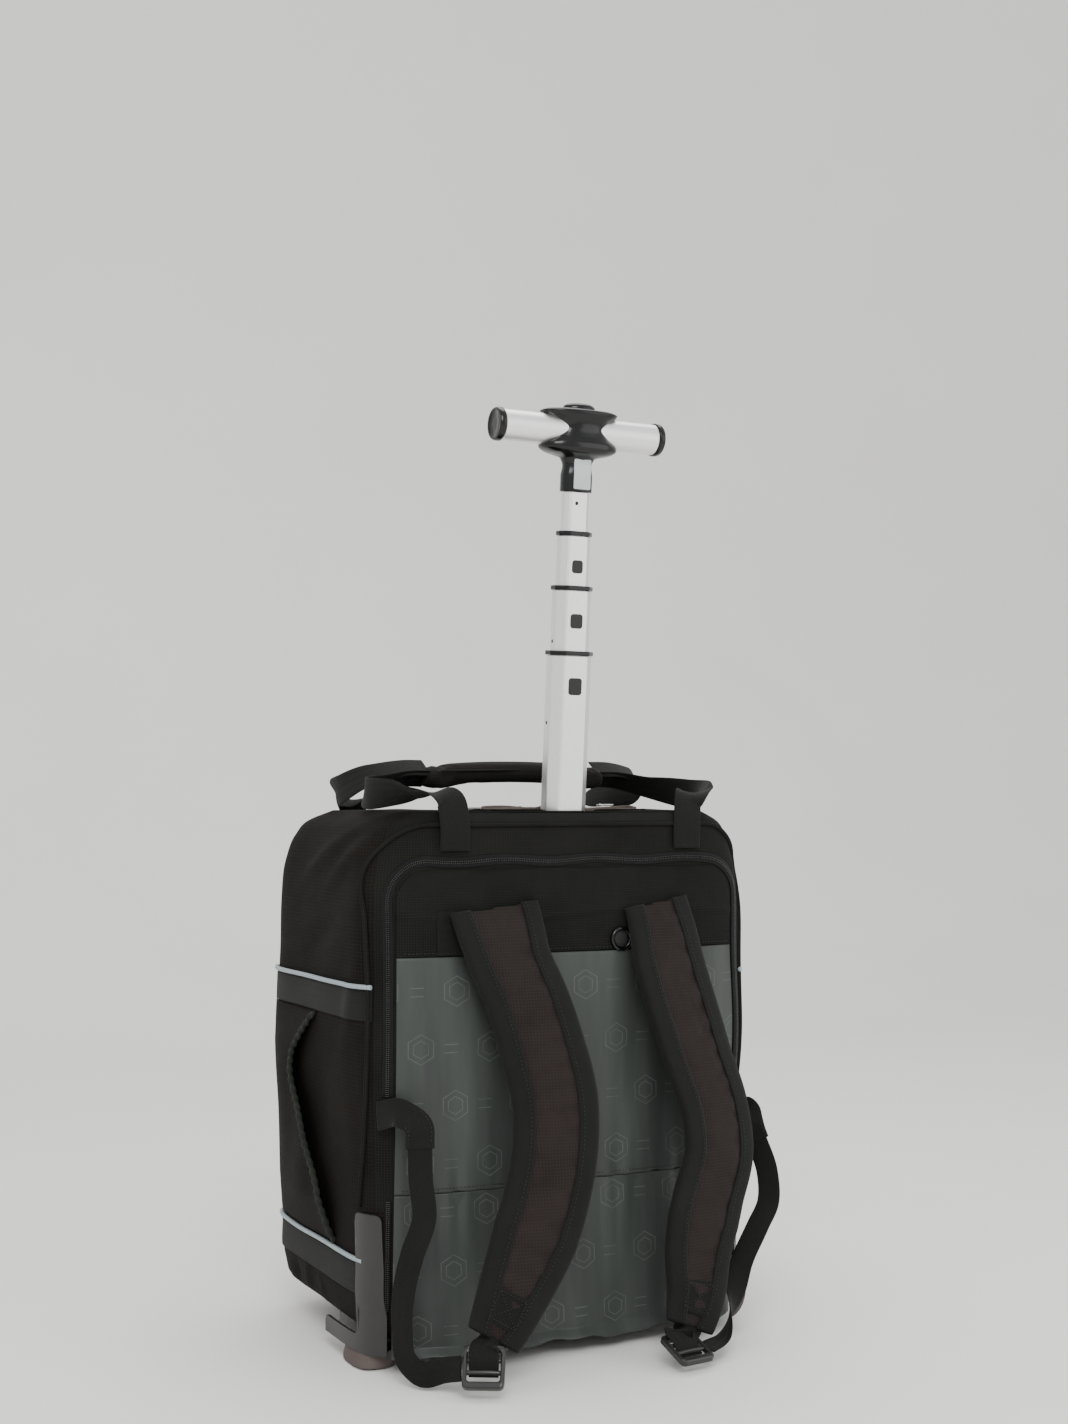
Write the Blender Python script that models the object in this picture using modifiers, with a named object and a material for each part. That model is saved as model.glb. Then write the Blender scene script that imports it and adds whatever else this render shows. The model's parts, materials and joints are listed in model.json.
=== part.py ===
# Wheeled backpack: a soft rucksack on two wheels with a telescopic pole and a T handle.
# Metres, +Z up. The harness face looks along -Y, the bag's front along +Y, and the floor is z = 0.
# The origin lies on the floor, under the middle of the whole outline.

import math

import bmesh
import bpy
import numpy as np
from mathutils import Matrix, Vector

# Cloth body
BODY_WIDTH = 0.384          # across the bulge of the sides
BODY_DEPTH = 0.270          # across the bulge of the back and front
BODY_BOTTOM = 0.022         # the cloth bottom above the floor
BODY_HEIGHT = 0.444
SQUARENESS = 7.5            # exponent of the rounded-box section
CLOTH = 0.002               # wall of the cloth body
FIT = 0.0004                # gap between pieces that touch
SKIN_LIFT = 0.0008          # how far a piece sewn on the cloth lies off it
SLOT_WIDTH = 0.150          # opening in the top that the pole comes out of
SLOT_DEPTH = 0.042
SLOT_INSET = 0.0065         # from the back's furthest point to the slot

# Pieces on the back
STRAP_REACH = 0.1060        # from the back's furthest point to the furthest buckle's end
SIDE_TO_ZIP = 0.0205        # from the body's side to the arch of the back zip
ZIP_TOP = 0.4235
ZIP_FOOT = 0.228
ZIP_TAPE = 0.009
ZIP_CORNER = 0.034
ZIP_THICK = 0.0018
SLOT_TO_ZIP = 0.004         # from the pole's slot to the top zip
PULL_LENGTH = 0.016
PULL_WIDTH = 0.007
PULL_THICK = 0.003
PULL_INSET = 0.012          # from the zip's end to the puller's middle
SIDE_TO_PANEL = 0.027
YOKE_TOP = 0.4165
YOKE_FOOT = 0.343
PANEL_FOOT = 0.146
FLAP_FOOT = 0.009
PANEL_THICK = 0.0015
FLAP_STAND = 0.010          # how far the hanging flap's hem stands off the back
FLAP_LOBE = 0.0035          # how deep the hem's lobes are
EYELET_RADIUS = 0.009
EYELET_WIRE = 0.0016
EYELET_X = 0.0450
EYELET_Z = 0.3530
BINDING_HALF_WIDTH = 0.118
BINDING_HEIGHT = 0.009

# Shoulder straps
STRAP_WIDTH = 0.074
STRAP_THICK = 0.010
STRAP_SLIM = 0.45           # the strap's thickness at its two ends, as a share
STRAP_TAPER = 0.62          # the strap's width at its lower end, as a share
TAPER_SHARE = 0.24          # share of its length over which it narrows
HARNESS_X = 0.074           # middle of each strap where it is sewn in
WEB_WIDTH = 0.020
WEB_THICK = 0.0016
HOOD_WIDTH = 0.024
HOOD_SEAM = 0.92            # where a hood is sewn in, as a share of the half width
HOOD_RISE = 0.022           # its seam above the webbing's upper end
HOOD_LIFT = 0.0042
HOOD_SLEEVE = 0.016         # the doubled sleeve over the webbing
HOOD_FOLD = (0.0, -0.003, 0.008)
BUCKLE_WIDTH = 0.034
BUCKLE_LENGTH = 0.036
BUCKLE_THICK = 0.006
BUCKLE_BAR = 0.006

# Top handle
HANDLE_WEB = 0.028
HANDLE_X = 0.115            # where each webbing is sewn on
HANDLE_RISE = 0.034         # middle of the grip above the bag's top
HANDLE_Y = -0.012           # middle of the grip from the body's middle
HANDLE_LEAD = 0.016         # straight end of a webbing before the grip
HANDLE_SPLIT = 0.005        # the rear and front webbing above and below the grip's middle
REAR_SEAM = 0.012           # where each webbing leaves the cloth, below the bag's top
REAR_LIFT = 0.0045
FRONT_SEAM = 0.016
FRONT_LIFT = 0.0022
FRONT_WEB_Y = 0.096         # where the front webbing passes the top's edge, from the body's middle
GRIP_LENGTH = 0.184
GRIP_WIDTH = 0.034
GRIP_HEIGHT = 0.022

# Sides
BAND_HEIGHT = 0.026
BAND_THICK = 0.0015
BAND_UPPER_TOP = 0.316
BAND_LOWER_TOP = 0.087
PIPING_RADIUS = 0.0021
SIDE_BACK_Y = -0.116        # bands and pockets run between these, from the body's middle
SIDE_FRONT_Y = 0.108
POCKET_SWELL = 0.012
FRONT_POCKET_WIDTH = 0.250
FRONT_POCKET_FOOT = 0.060
FRONT_POCKET_TOP = 0.330
FRONT_POCKET_DEEP = 0.0225

# Running gear
WHEEL_RADIUS = 0.035
WHEEL_WIDTH = 0.026
SIDE_TO_WHEEL = 0.037       # from the body's side to the middle of the wheel's width
WHEEL_Y = -0.0595           # axle from the body's middle
TYRE_THICK = 0.008
AXLE_RADIUS = 0.003
AXLE_GAP = 0.0003
HOUSING_WALL = 0.002
WHEEL_GAP = 0.0025          # between the wheel and its housing
HOUSING_RIM = 0.018         # the housing's lower edge above the floor
FLOOR_PLATE = 0.003
GUARD_THICK = 0.003
GUARD_FOOT = 0.0135
GUARD_TOP = 0.130
GUARD_LEG = 0.028
GUARD_REACH = 0.098         # along the side from the back corner
GUARD_TURN = 42             # degrees of the body's section at which the guard's rear edge lies
GUARD_SOLE = 0.0135         # height of the foot of the L
GUARD_BEND = 0.006          # height of the bend between foot and leg
GUARD_NARROW = 0.010
SIDE_TO_FOOT = 0.077
FOOT_Y = 0.086              # from the body's middle
FOOT_RADIUS = 0.014

# Telescopic pole
POLE_INSET = 0.021          # from the back's furthest point to the pole's axis, at the bag's top
POLE_LEAN = math.radians(5.0)
TUBE_WALL = 0.0014
TUBE_PLAY = 0.0006          # clearance between the channel and the first tube
CHANNEL_WALL = 0.0014
CHANNEL_SHORT = 0.024       # from the bag's top down to the channel's mouth
COLLAR_HEIGHT = 0.004
COLLAR_PROUD = 0.0014
# one row for each tube, from the widest: width, thickness, chamfer, shown length, hidden length
TUBES = (
    dict(width=0.0400, thick=0.0270, chamfer=0.0085, shown=0.1375, hidden=0.2500),
    dict(width=0.0350, thick=0.0225, chamfer=0.0072, shown=0.0535, hidden=0.2400),
    dict(width=0.0300, thick=0.0180, chamfer=0.0058, shown=0.0440, hidden=0.2200),
    dict(width=0.0255, thick=0.0135, chamfer=0.0045, shown=0.0350, hidden=0.2000),
)

# T handle
NECK_LENGTH = 0.0295
HUB_HALF_WIDTH = 0.0365
HUB_HALF_DEPTH = 0.0195
HUB_HALF_HEIGHT = 0.0180
BAR_RADIUS = 0.0135
BAR_HALF_LENGTH = 0.0760
CAP_RADIUS = 0.0147
CAP_LENGTH = 0.0062
BUTTON_HALF_WIDTH = 0.0155
BUTTON_HALF_DEPTH = 0.0110
BUTTON_TRAVEL = 0.0025
BUTTON_DOME = 0.0085

# Worked out from the sizes above
BODY_Y = (STRAP_REACH - FRONT_POCKET_DEEP) / 2
BODY_TOP = BODY_BOTTOM + BODY_HEIGHT
BACK_Y = BODY_Y - BODY_DEPTH / 2
HALF_WIDTH = BODY_WIDTH / 2
ZIP_HALF_WIDTH = HALF_WIDTH - SIDE_TO_ZIP
PANEL_HALF_WIDTH = HALF_WIDTH - SIDE_TO_PANEL
WHEEL_X = HALF_WIDTH - SIDE_TO_WHEEL
FOOT_X = HALF_WIDTH - SIDE_TO_FOOT
POLE_Y = BACK_Y + POLE_INSET

# The body's outline, a row for each ring: height, half width, back and front half depths, as shares of
# BODY_HEIGHT, BODY_WIDTH / 2 and BODY_DEPTH / 2
OUTLINE = (
    dict(height=0.00, width=0.860, back=0.930, front=0.800),
    dict(height=0.02, width=0.925, back=0.955, front=0.900),
    dict(height=0.06, width=0.960, back=0.970, front=0.950),
    dict(height=0.15, width=0.968, back=0.980, front=0.970),
    dict(height=0.32, width=0.980, back=0.990, front=0.990),
    dict(height=0.52, width=1.000, back=1.000, front=1.000),
    dict(height=0.70, width=0.998, back=1.000, front=0.990),
    dict(height=0.82, width=0.990, back=0.995, front=0.965),
    dict(height=0.90, width=0.970, back=0.990, front=0.930),
    dict(height=0.95, width=0.935, back=0.985, front=0.870),
    dict(height=0.98, width=0.885, back=0.980, front=0.780),
    dict(height=1.00, width=0.790, back=0.975, front=0.640),
)
# A shoulder strap's middle line, a row for each bend: height above the floor, sideways shift from
# HARNESS_X, stand-off from the back, and turn of its face towards the side in degrees
LEFT_STRAP = (
    dict(height=0.384, shift=-0.006, stand=0.0053, turn=0),
    dict(height=0.361, shift=-0.003, stand=0.0150, turn=-2),
    dict(height=0.342, shift=0.001, stand=0.0200, turn=-5),
    dict(height=0.308, shift=0.013, stand=0.0290, turn=-10),
    dict(height=0.267, shift=0.024, stand=0.0370, turn=-14),
    dict(height=0.224, shift=0.032, stand=0.0440, turn=-16),
    dict(height=0.184, shift=0.029, stand=0.0500, turn=-14),
    dict(height=0.144, shift=0.019, stand=0.0530, turn=-12),
    dict(height=0.112, shift=0.006, stand=0.0550, turn=-12),
    dict(height=0.080, shift=-0.012, stand=0.0600, turn=-12),
    dict(height=0.058, shift=-0.026, stand=0.0650, turn=-12),
    dict(height=0.0414, shift=-0.0372, stand=0.0683, turn=-12),
)
RIGHT_STRAP = (
    dict(height=0.384, shift=0.002, stand=0.0053, turn=0),
    dict(height=0.360, shift=0.006, stand=0.0130, turn=2),
    dict(height=0.334, shift=0.010, stand=0.0200, turn=4),
    dict(height=0.299, shift=0.017, stand=0.0290, turn=6),
    dict(height=0.247, shift=0.031, stand=0.0370, turn=8),
    dict(height=0.203, shift=0.043, stand=0.0440, turn=8),
    dict(height=0.169, shift=0.043, stand=0.0500, turn=6),
    dict(height=0.128, shift=0.029, stand=0.0530, turn=4),
    dict(height=0.087, shift=0.017, stand=0.0560, turn=2),
    dict(height=0.055, shift=0.011, stand=0.0620, turn=0),
    dict(height=0.0280, shift=-0.001, stand=0.0702, turn=0),
)


# Collections, materials and objects


def clear_scene():
    """Removes the objects that a new scene starts with."""
    for obj in list(bpy.data.objects):
        bpy.data.objects.remove(obj, do_unlink=True)


def new_collection(name):
    """A collection linked to the scene."""
    made = bpy.data.collections.new(name)
    bpy.context.scene.collection.children.link(made)
    return made


clear_scene()
PARTS = new_collection("wheeled_backpack")
CUTTERS = new_collection("cutters")

# surface name: colour, roughness, metallic
SURFACES = {
    "ripstop": ((0.030, 0.027, 0.024), 0.85, 0.0),
    "webbing": ((0.028, 0.030, 0.028), 0.80, 0.0),
    "strap_cloth": ((0.036, 0.028, 0.024), 0.85, 0.0),
    "satin": ((0.110, 0.125, 0.115), 0.55, 0.0),
    "reflective": ((0.360, 0.450, 0.480), 0.45, 0.0),
    "zip": ((0.020, 0.020, 0.020), 0.60, 0.0),
    "guard_plastic": ((0.060, 0.060, 0.058), 0.45, 0.0),
    "black_plastic": ((0.012, 0.012, 0.012), 0.30, 0.0),
    "rubber": ((0.015, 0.015, 0.015), 0.85, 0.0),
    "aluminium": ((0.850, 0.850, 0.840), 0.30, 1.0),
    "puller_metal": ((0.600, 0.600, 0.600), 0.30, 1.0),
}


def material(node, surface):
    """A Principled material for one node."""
    colour, roughness, metallic = SURFACES[surface]
    made = bpy.data.materials.new(node + "_" + surface)
    made.use_nodes = True
    shader = made.node_tree.nodes["Principled BSDF"]
    shader.inputs["Base Color"].default_value = (*colour, 1.0)
    shader.inputs["Roughness"].default_value = roughness
    shader.inputs["Metallic"].default_value = metallic
    return made


def add_object(name, mesh, surface, parent=None, collection=PARTS):
    """Links a mesh as a named object, under a parent if it has one."""
    obj = bpy.data.objects.new(name, mesh)
    collection.objects.link(obj)
    obj.parent = parent
    if surface:
        mesh.materials.append(material(name, surface))
    return obj


def add_empty(name, place, turn=(0.0, 0.0, 0.0)):
    """An empty on a joint's axis or at an assembly's place."""
    empty = bpy.data.objects.new(name, None)
    PARTS.objects.link(empty)
    empty.location = place
    empty.rotation_euler = turn
    return empty


def cutter(name, mesh):
    """A cutting solid, left out of renders."""
    obj = add_object(name, mesh, None, collection=CUTTERS)
    obj.hide_render = True
    obj.display_type = "WIRE"
    return obj


def cut(obj, tool, operation="DIFFERENCE"):
    """Cuts or joins with an exact Boolean."""
    boolean = obj.modifiers.new(operation.lower(), "BOOLEAN")
    boolean.operation = operation
    boolean.solver = "EXACT"
    boolean.object = tool
    return boolean


def solidify(obj, thickness, offset=1.0):
    """Thickens an open surface along its normals; offset 1 grows outwards, -1 inwards."""
    wall = obj.modifiers.new("wall", "SOLIDIFY")
    wall.thickness = thickness
    wall.offset = offset
    return wall


# Meshes


def mesh_of(name, points, faces):
    """A mesh from points and faces."""
    mesh = bpy.data.meshes.new(name)
    mesh.from_pydata([tuple(map(float, p)) for p in points], [], faces)
    mesh.update()
    return mesh


def grid_faces(rows, columns, wrap=False):
    """Faces of a grid whose points run row by row; wrap closes each row into a ring."""
    faces = []
    for i in range(rows - 1):
        for j in range(columns if wrap else columns - 1):
            k = (j + 1) % columns
            faces.append((i * columns + j, i * columns + k, (i + 1) * columns + k, (i + 1) * columns + j))
    return faces


def sheet(name, grid, thickness, surface, offset=1.0, wrap=False, close_first=False):
    """An open surface through a grid of points, rows upwards and columns anticlockwise seen from
    above, thickened to one closed solid. A wrapped grid can have its first ring filled in."""
    grid = np.asarray(grid, float)
    rows, columns = grid.shape[:2]
    faces = grid_faces(rows, columns, wrap)
    if close_first:
        faces.append(tuple(range(columns))[::-1])
    mesh = mesh_of(name, grid.reshape(-1, 3), faces)
    obj = add_object(name, mesh, surface)
    solidify(obj, thickness, offset)
    return obj


def loft(name, rings, surface, parent=None, tidy=True):
    """A closed solid through rings of equally many points, capped at both ends."""
    rings = np.asarray(rings, float)
    rows, columns = rings.shape[:2]
    faces = grid_faces(rows, columns, wrap=True)
    faces.append(tuple(range(columns))[::-1])
    faces.append(tuple(range((rows - 1) * columns, rows * columns)))
    mesh = mesh_of(name, rings.reshape(-1, 3), faces)
    if tidy:
        outwards(mesh)
    return add_object(name, mesh, surface, parent)


def outwards(mesh):
    """Turns the faces of a closed mesh to point out."""
    work = bmesh.new()
    work.from_mesh(mesh)
    bmesh.ops.recalc_face_normals(work, faces=work.faces)
    work.to_mesh(mesh)
    work.free()


def box_mesh(name, low, high):
    """A box between two corners."""
    work = bmesh.new()
    bmesh.ops.create_cube(work, size=1.0)
    low, high = Vector(low), Vector(high)
    size = high - low
    middle = (high + low) / 2
    bmesh.ops.transform(work, matrix=Matrix.Translation(middle) @ Matrix.Diagonal((*size, 1.0)), verts=work.verts)
    mesh = bpy.data.meshes.new(name)
    work.to_mesh(mesh)
    work.free()
    return mesh


def cylinder_mesh(name, radius, length, segments, axis="X"):
    """A cylinder along an axis, centred on the origin."""
    work = bmesh.new()
    bmesh.ops.create_cone(work, cap_ends=True, segments=segments, radius1=radius, radius2=radius, depth=length)
    turn = Matrix.Rotation(math.pi / 2, 4, "Y") if axis == "X" else Matrix.Identity(4)
    bmesh.ops.transform(work, matrix=turn, verts=work.verts)
    mesh = bpy.data.meshes.new(name)
    work.to_mesh(mesh)
    work.free()
    return mesh


def curve_mesh(curve_object):
    """The welded mesh of a curve object, which is removed."""
    bpy.context.view_layer.update()
    graph = bpy.context.evaluated_depsgraph_get()
    mesh = bpy.data.meshes.new_from_object(curve_object.evaluated_get(graph))
    work = bmesh.new()
    work.from_mesh(mesh)
    bmesh.ops.remove_doubles(work, verts=work.verts, dist=1e-6)
    bmesh.ops.recalc_face_normals(work, faces=work.faces)
    work.to_mesh(mesh)
    work.free()
    bpy.data.objects.remove(curve_object, do_unlink=True)
    return mesh


def outline_mesh(name, outlines, height):
    """A flat curve of one outline, or of an outline and its hole, extruded to a height and centred."""
    curve = bpy.data.curves.new(name, "CURVE")
    curve.dimensions = "2D"
    curve.fill_mode = "BOTH"
    curve.extrude = height / 2
    for outline in outlines:
        spline = curve.splines.new("POLY")
        spline.points.add(len(outline) - 1)
        for point, (x, y) in zip(spline.points, outline):
            point.co = (x, y, 0.0, 1.0)
        spline.use_cyclic_u = True
    obj = bpy.data.objects.new(name, curve)
    bpy.context.scene.collection.objects.link(obj)
    return curve_mesh(obj)


def tube_mesh(name, points, radius, resolution=1):
    """A thin round strand along points, with filled ends."""
    curve = bpy.data.curves.new(name, "CURVE")
    curve.dimensions = "3D"
    curve.bevel_depth = radius
    curve.bevel_resolution = resolution
    curve.use_fill_caps = True
    spline = curve.splines.new("POLY")
    spline.points.add(len(points) - 1)
    for point, place in zip(spline.points, points):
        point.co = (*map(float, place), 1.0)
    obj = bpy.data.objects.new(name, curve)
    bpy.context.scene.collection.objects.link(obj)
    return curve_mesh(obj)


# The body's surface, which the sewn-on pieces follow


def outline_at(z):
    """Half width and back and front half depths of the body at a height."""
    share = (z - BODY_BOTTOM) / BODY_HEIGHT
    heights = [row["height"] for row in OUTLINE]
    shares = [[row[side] for row in OUTLINE] for side in ("width", "back", "front")]
    width, back, front = (np.interp(share, heights, column) for column in shares)
    return width * HALF_WIDTH, back * BODY_DEPTH / 2, front * BODY_DEPTH / 2


def section_point(angle, z, lift=0.0):
    """A point of the body's section at an angle, moved out along the section's normal."""
    a, back, front = outline_at(z)
    c, s = math.cos(angle), math.sin(angle)
    b = back if s < 0 else front
    x = a * math.copysign(abs(c) ** (2 / SQUARENESS), c)
    y = b * math.copysign(abs(s) ** (2 / SQUARENESS), s)
    normal = Vector((
        math.copysign(abs(x / a) ** (SQUARENESS - 1), x) / a,
        math.copysign(abs(y / b) ** (SQUARENESS - 1), y) / b,
    )).normalized()
    return np.array((x + lift * normal.x, BODY_Y + y + lift * normal.y, z))


def back_point(x, z, lift=SKIN_LIFT):
    """A point on the body's back at a width and height."""
    a, back, _ = outline_at(z)
    share = min(abs(x / a), 1.0) ** (SQUARENESS / 2)
    return section_point(-math.acos(math.copysign(share, x)), z, lift)


def side_point(side, y, z, lift=SKIN_LIFT):
    """A point on the body's left (-1) or right (1) side; y runs from the body's middle."""
    _, back, front = outline_at(z)
    b = back if y < 0 else front
    angle = math.asin(math.copysign(min(abs(y / b), 1.0) ** (SQUARENESS / 2), y))
    return section_point(angle if side > 0 else math.pi - angle, z, lift)


def side_columns(side, low, high, count, both_ends=True):
    """Widths along a side, closer together towards the corners, in the order that keeps a grid
    anticlockwise."""
    if both_ends:
        share = (1 + np.sin(np.linspace(-math.pi / 2, math.pi / 2, count))) / 2
    else:
        share = np.sin(np.linspace(0, math.pi / 2, count))
    columns = low + (high - low) * share
    return columns if side > 0 else columns[::-1]


def ring_heights(low, high):
    """The two heights and those of the body's rings between them, so that a piece bends where it does."""
    rings = [BODY_BOTTOM + row["height"] * BODY_HEIGHT for row in OUTLINE]
    return [low, *(z for z in rings if low + 0.001 < z < high - 0.001), high]


def front_point(x, z, lift):
    """A point on the body's front at a width and height."""
    a = outline_at(z)[0]
    share = min(abs(x / a), 1.0) ** (SQUARENESS / 2)
    return section_point(math.acos(math.copysign(share, x)), z, lift)


SIDES = (("left", -1), ("right", 1))
CORNER_COLUMNS = 36


def make_body():
    """The cloth body: rings from the pole's slot over the top, down the walls and under the bottom."""
    angles = [2 * math.pi * k / CORNER_COLUMNS - math.pi for k in range(CORNER_COLUMNS)]
    walls = [[section_point(t, BODY_BOTTOM + row["height"] * BODY_HEIGHT) for t in angles] for row in OUTLINE]
    bottom, top = np.array(walls[0]), np.array(walls[-1])
    centre = np.array((0.0, BODY_Y, BODY_BOTTOM))
    under = [centre + (bottom - centre) * 0.55]
    slot_middle = BACK_Y + SLOT_INSET + SLOT_DEPTH / 2
    slot = np.array([
        (
            SLOT_WIDTH / 2 * math.copysign(abs(math.cos(t)) ** 0.4, math.cos(t)),
            slot_middle + SLOT_DEPTH / 2 * math.copysign(abs(math.sin(t)) ** 0.4, math.sin(t)),
            BODY_TOP,
        )
        for t in angles
    ])
    over = [top + (slot - top) * 0.5, slot]
    obj = sheet("bag_shell", [*under, *walls, *over], CLOTH, "ripstop", -1.0, wrap=True, close_first=True)
    low = HOUSING_RIM - BODY_BOTTOM
    for name, side in SIDES:
        half_x = WHEEL_WIDTH / 2 + WHEEL_GAP + HOUSING_WALL + FIT
        half_y = WHEEL_RADIUS + WHEEL_GAP + HOUSING_WALL + FIT
        top_z = 2 * WHEEL_RADIUS + WHEEL_GAP + HOUSING_WALL + FIT
        well = box_mesh(
            "well_" + name,
            (side * WHEEL_X - half_x, BODY_Y + WHEEL_Y - half_y, low - CLOTH),
            (side * WHEEL_X + half_x, BODY_Y + WHEEL_Y + half_y, top_z),
        )
        cut(obj, cutter("well_" + name, well))
    return obj


def make_front_pocket():
    """The plain pocket on the front: a bowed sheet whose edges turn in to the body."""
    rows = []
    for share_z in (0.0, 0.05, 0.16, 0.5, 0.84, 0.95, 1.0):
        z = FRONT_POCKET_FOOT + (FRONT_POCKET_TOP - FRONT_POCKET_FOOT) * share_z
        row = []
        for share_x in (1.0, 0.93, 0.78, 0.45, 0.0, -0.45, -0.78, -0.93, -1.0):
            edge = max(abs(share_x), abs(2 * share_z - 1))
            swell = (FRONT_POCKET_DEEP - PANEL_THICK - SKIN_LIFT) * min(1.0, (1 - edge) / 0.3) ** 0.5
            row.append(front_point(share_x * FRONT_POCKET_WIDTH / 2, z, SKIN_LIFT + swell))
        rows.append(row)
    return sheet("front_pocket", rows, PANEL_THICK, "ripstop")


# the free rear edge of a side pocket: share of its height, place from the body's middle
POCKET_EDGE = (
    dict(height=0.00, y=-0.044),
    dict(height=0.17, y=-0.036),
    dict(height=0.45, y=0.002),
    dict(height=0.72, y=0.030),
    dict(height=0.90, y=0.008),
    dict(height=1.00, y=-0.010),
)


def make_side_pocket(name, side):
    """A cloth panel sewn along its top, foot and front, standing open at its rear edge."""
    foot = BAND_LOWER_TOP + 2 * PIPING_RADIUS + 0.0022
    top = BAND_UPPER_TOP - BAND_HEIGHT - 0.0015
    rows = []
    for share in (0.0, 0.08, 0.17, 0.45, 0.72, 0.90, 1.0):
        z = foot + (top - foot) * share
        edge = np.interp(share, [row["height"] for row in POCKET_EDGE], [row["y"] for row in POCKET_EDGE])
        columns = side_columns(side, edge, SIDE_FRONT_Y, 8, both_ends=False)
        swell = POCKET_SWELL * min(1.0, 5.5 * min(share, 1 - share)) ** 0.7
        rows.append([
            side_point(side, y, z, SKIN_LIFT + swell * (1 - ((y - edge) / (SIDE_FRONT_Y - edge)) ** 2))
            for y in columns
        ])
    return sheet("side_pocket_" + name, rows, PANEL_THICK, "ripstop")


def make_band(name, side, back, top):
    """A webbing band round one side."""
    columns = side_columns(side, back, SIDE_FRONT_Y, 13)
    rows = [[side_point(side, y, z) for y in columns] for z in ring_heights(top - BAND_HEIGHT, top)]
    return sheet(name, rows, BAND_THICK, "webbing")


def make_piping(name, side, back, top):
    """A round reflective piping over a band's upper edge."""
    z = top + PIPING_RADIUS + FIT
    columns = side_columns(side, back, SIDE_FRONT_Y, 13)
    points = [side_point(side, y, z, SKIN_LIFT + PIPING_RADIUS) for y in columns]
    return add_object(name, tube_mesh(name, points, PIPING_RADIUS), "reflective")


def back_columns(half, count):
    """Widths across the back, closer together towards the corners."""
    return [half * math.sin(math.pi / 2 * k) for k in np.linspace(-1, 1, count)]


def make_back_sheets():
    """The dark yoke, round at its top corners as the zip's arch is, and the satin panel below it."""
    corner = ZIP_CORNER - (ZIP_HALF_WIDTH - PANEL_HALF_WIDTH)
    round_from = YOKE_TOP - corner
    rows = []
    bend = [round_from + corner * t for t in (0.4, 0.7, 0.9, 1.0)]
    for z in (*ring_heights(YOKE_FOOT + FIT, round_from), *bend):
        turn = max(0.0, (z - round_from) / corner)
        half = PANEL_HALF_WIDTH - corner * (1 - math.sqrt(max(0.0, 1 - turn**2)))
        rows.append([back_point(x, z) for x in back_columns(half, 13)])
    sheet("yoke", rows, PANEL_THICK, "ripstop")
    columns = back_columns(PANEL_HALF_WIDTH, 13)
    rows = [[back_point(x, z) for x in columns] for z in ring_heights(PANEL_FOOT + FIT, YOKE_FOOT)]
    sheet("back_panel", rows, PANEL_THICK, "satin")


def make_flap():
    """The hanging cover of the wheels, sewn along its top; its hem swells in three soft lobes."""
    columns = back_columns(PANEL_HALF_WIDTH, 17)
    rows = []
    for share in (0.0, 0.10, 0.28, 0.50, 0.75, 1.0):
        z = FLAP_FOOT + (PANEL_FOOT - FLAP_FOOT) * share
        row = []
        for x in columns:
            lobe = FLAP_LOBE * math.cos(3 * math.pi * x / PANEL_HALF_WIDTH) * (1 - share)
            stand = FLAP_STAND * math.sin(math.pi / 2 * (1 - share)) + lobe * (1 - share)
            surface = back_point(x, max(z, BODY_BOTTOM + 0.06 * BODY_HEIGHT))
            row.append(surface + np.array((0.0, -max(stand, 0.0), z - surface[2])))
        rows.append(row)
    sheet("wheel_flap", rows, PANEL_THICK, "satin")


def arch(half, top, foot, corner, steps=6):
    """Points of an arch in the back's plane: up the left, round both corners, down the right."""
    points = [(-half, z) for z in np.linspace(foot, top - corner, 6)]
    for k in range(1, steps + 1):
        t = math.pi / 2 * k / steps
        points.append((-half + corner * (1 - math.cos(t)), top - corner * (1 - math.sin(t))))
    across = np.linspace(-half + corner, half - corner, 7)[1:-1]
    points += [(x, top) for x in across]
    return points + [(-x, z) for x, z in points[: 6 + steps]][::-1]


def make_zips():
    """The arched back zip and the straight top zip, as tapes with their closed coil."""
    inner = arch(ZIP_HALF_WIDTH - ZIP_TAPE / 2, ZIP_TOP - ZIP_TAPE / 2, ZIP_FOOT, ZIP_CORNER - ZIP_TAPE / 2)
    outer = arch(ZIP_HALF_WIDTH + ZIP_TAPE / 2, ZIP_TOP + ZIP_TAPE / 2, ZIP_FOOT, ZIP_CORNER + ZIP_TAPE / 2)
    rows = [[back_point(x, z) for x, z in line] for line in (inner, outer)]
    sheet("zip_back", rows, ZIP_THICK, "zip")
    low_y = BACK_Y + SLOT_INSET + SLOT_DEPTH + SLOT_TO_ZIP
    middle = low_y + ZIP_TAPE / 2
    mesh = box_mesh(
        "zip_top",
        (-SLOT_WIDTH / 2, low_y, BODY_TOP + FIT),
        (SLOT_WIDTH / 2, low_y + ZIP_TAPE, BODY_TOP + FIT + ZIP_THICK),
    )
    add_object("zip_top", mesh, "zip")
    pull_x = SLOT_WIDTH / 2 - PULL_INSET
    pull = box_mesh(
        "zip_puller",
        (pull_x - PULL_LENGTH / 2, middle - PULL_WIDTH / 2, BODY_TOP + 2 * FIT + ZIP_THICK),
        (pull_x + PULL_LENGTH / 2, middle + PULL_WIDTH / 2, BODY_TOP + 2 * FIT + ZIP_THICK + PULL_THICK),
    )
    obj = add_object("zip_puller", pull, "puller_metal")
    edge = obj.modifiers.new("edge", "BEVEL")
    edge.width = 0.001
    edge.segments = 1


def make_binding():
    """The bound edge along the top of the back."""
    columns = back_columns(BINDING_HALF_WIDTH, 15)
    top = BODY_TOP - 0.002
    rows = [[back_point(x, z) for x in columns] for z in ring_heights(top - BINDING_HEIGHT, top)]
    sheet("top_binding", rows, BAND_THICK, "webbing")


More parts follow.
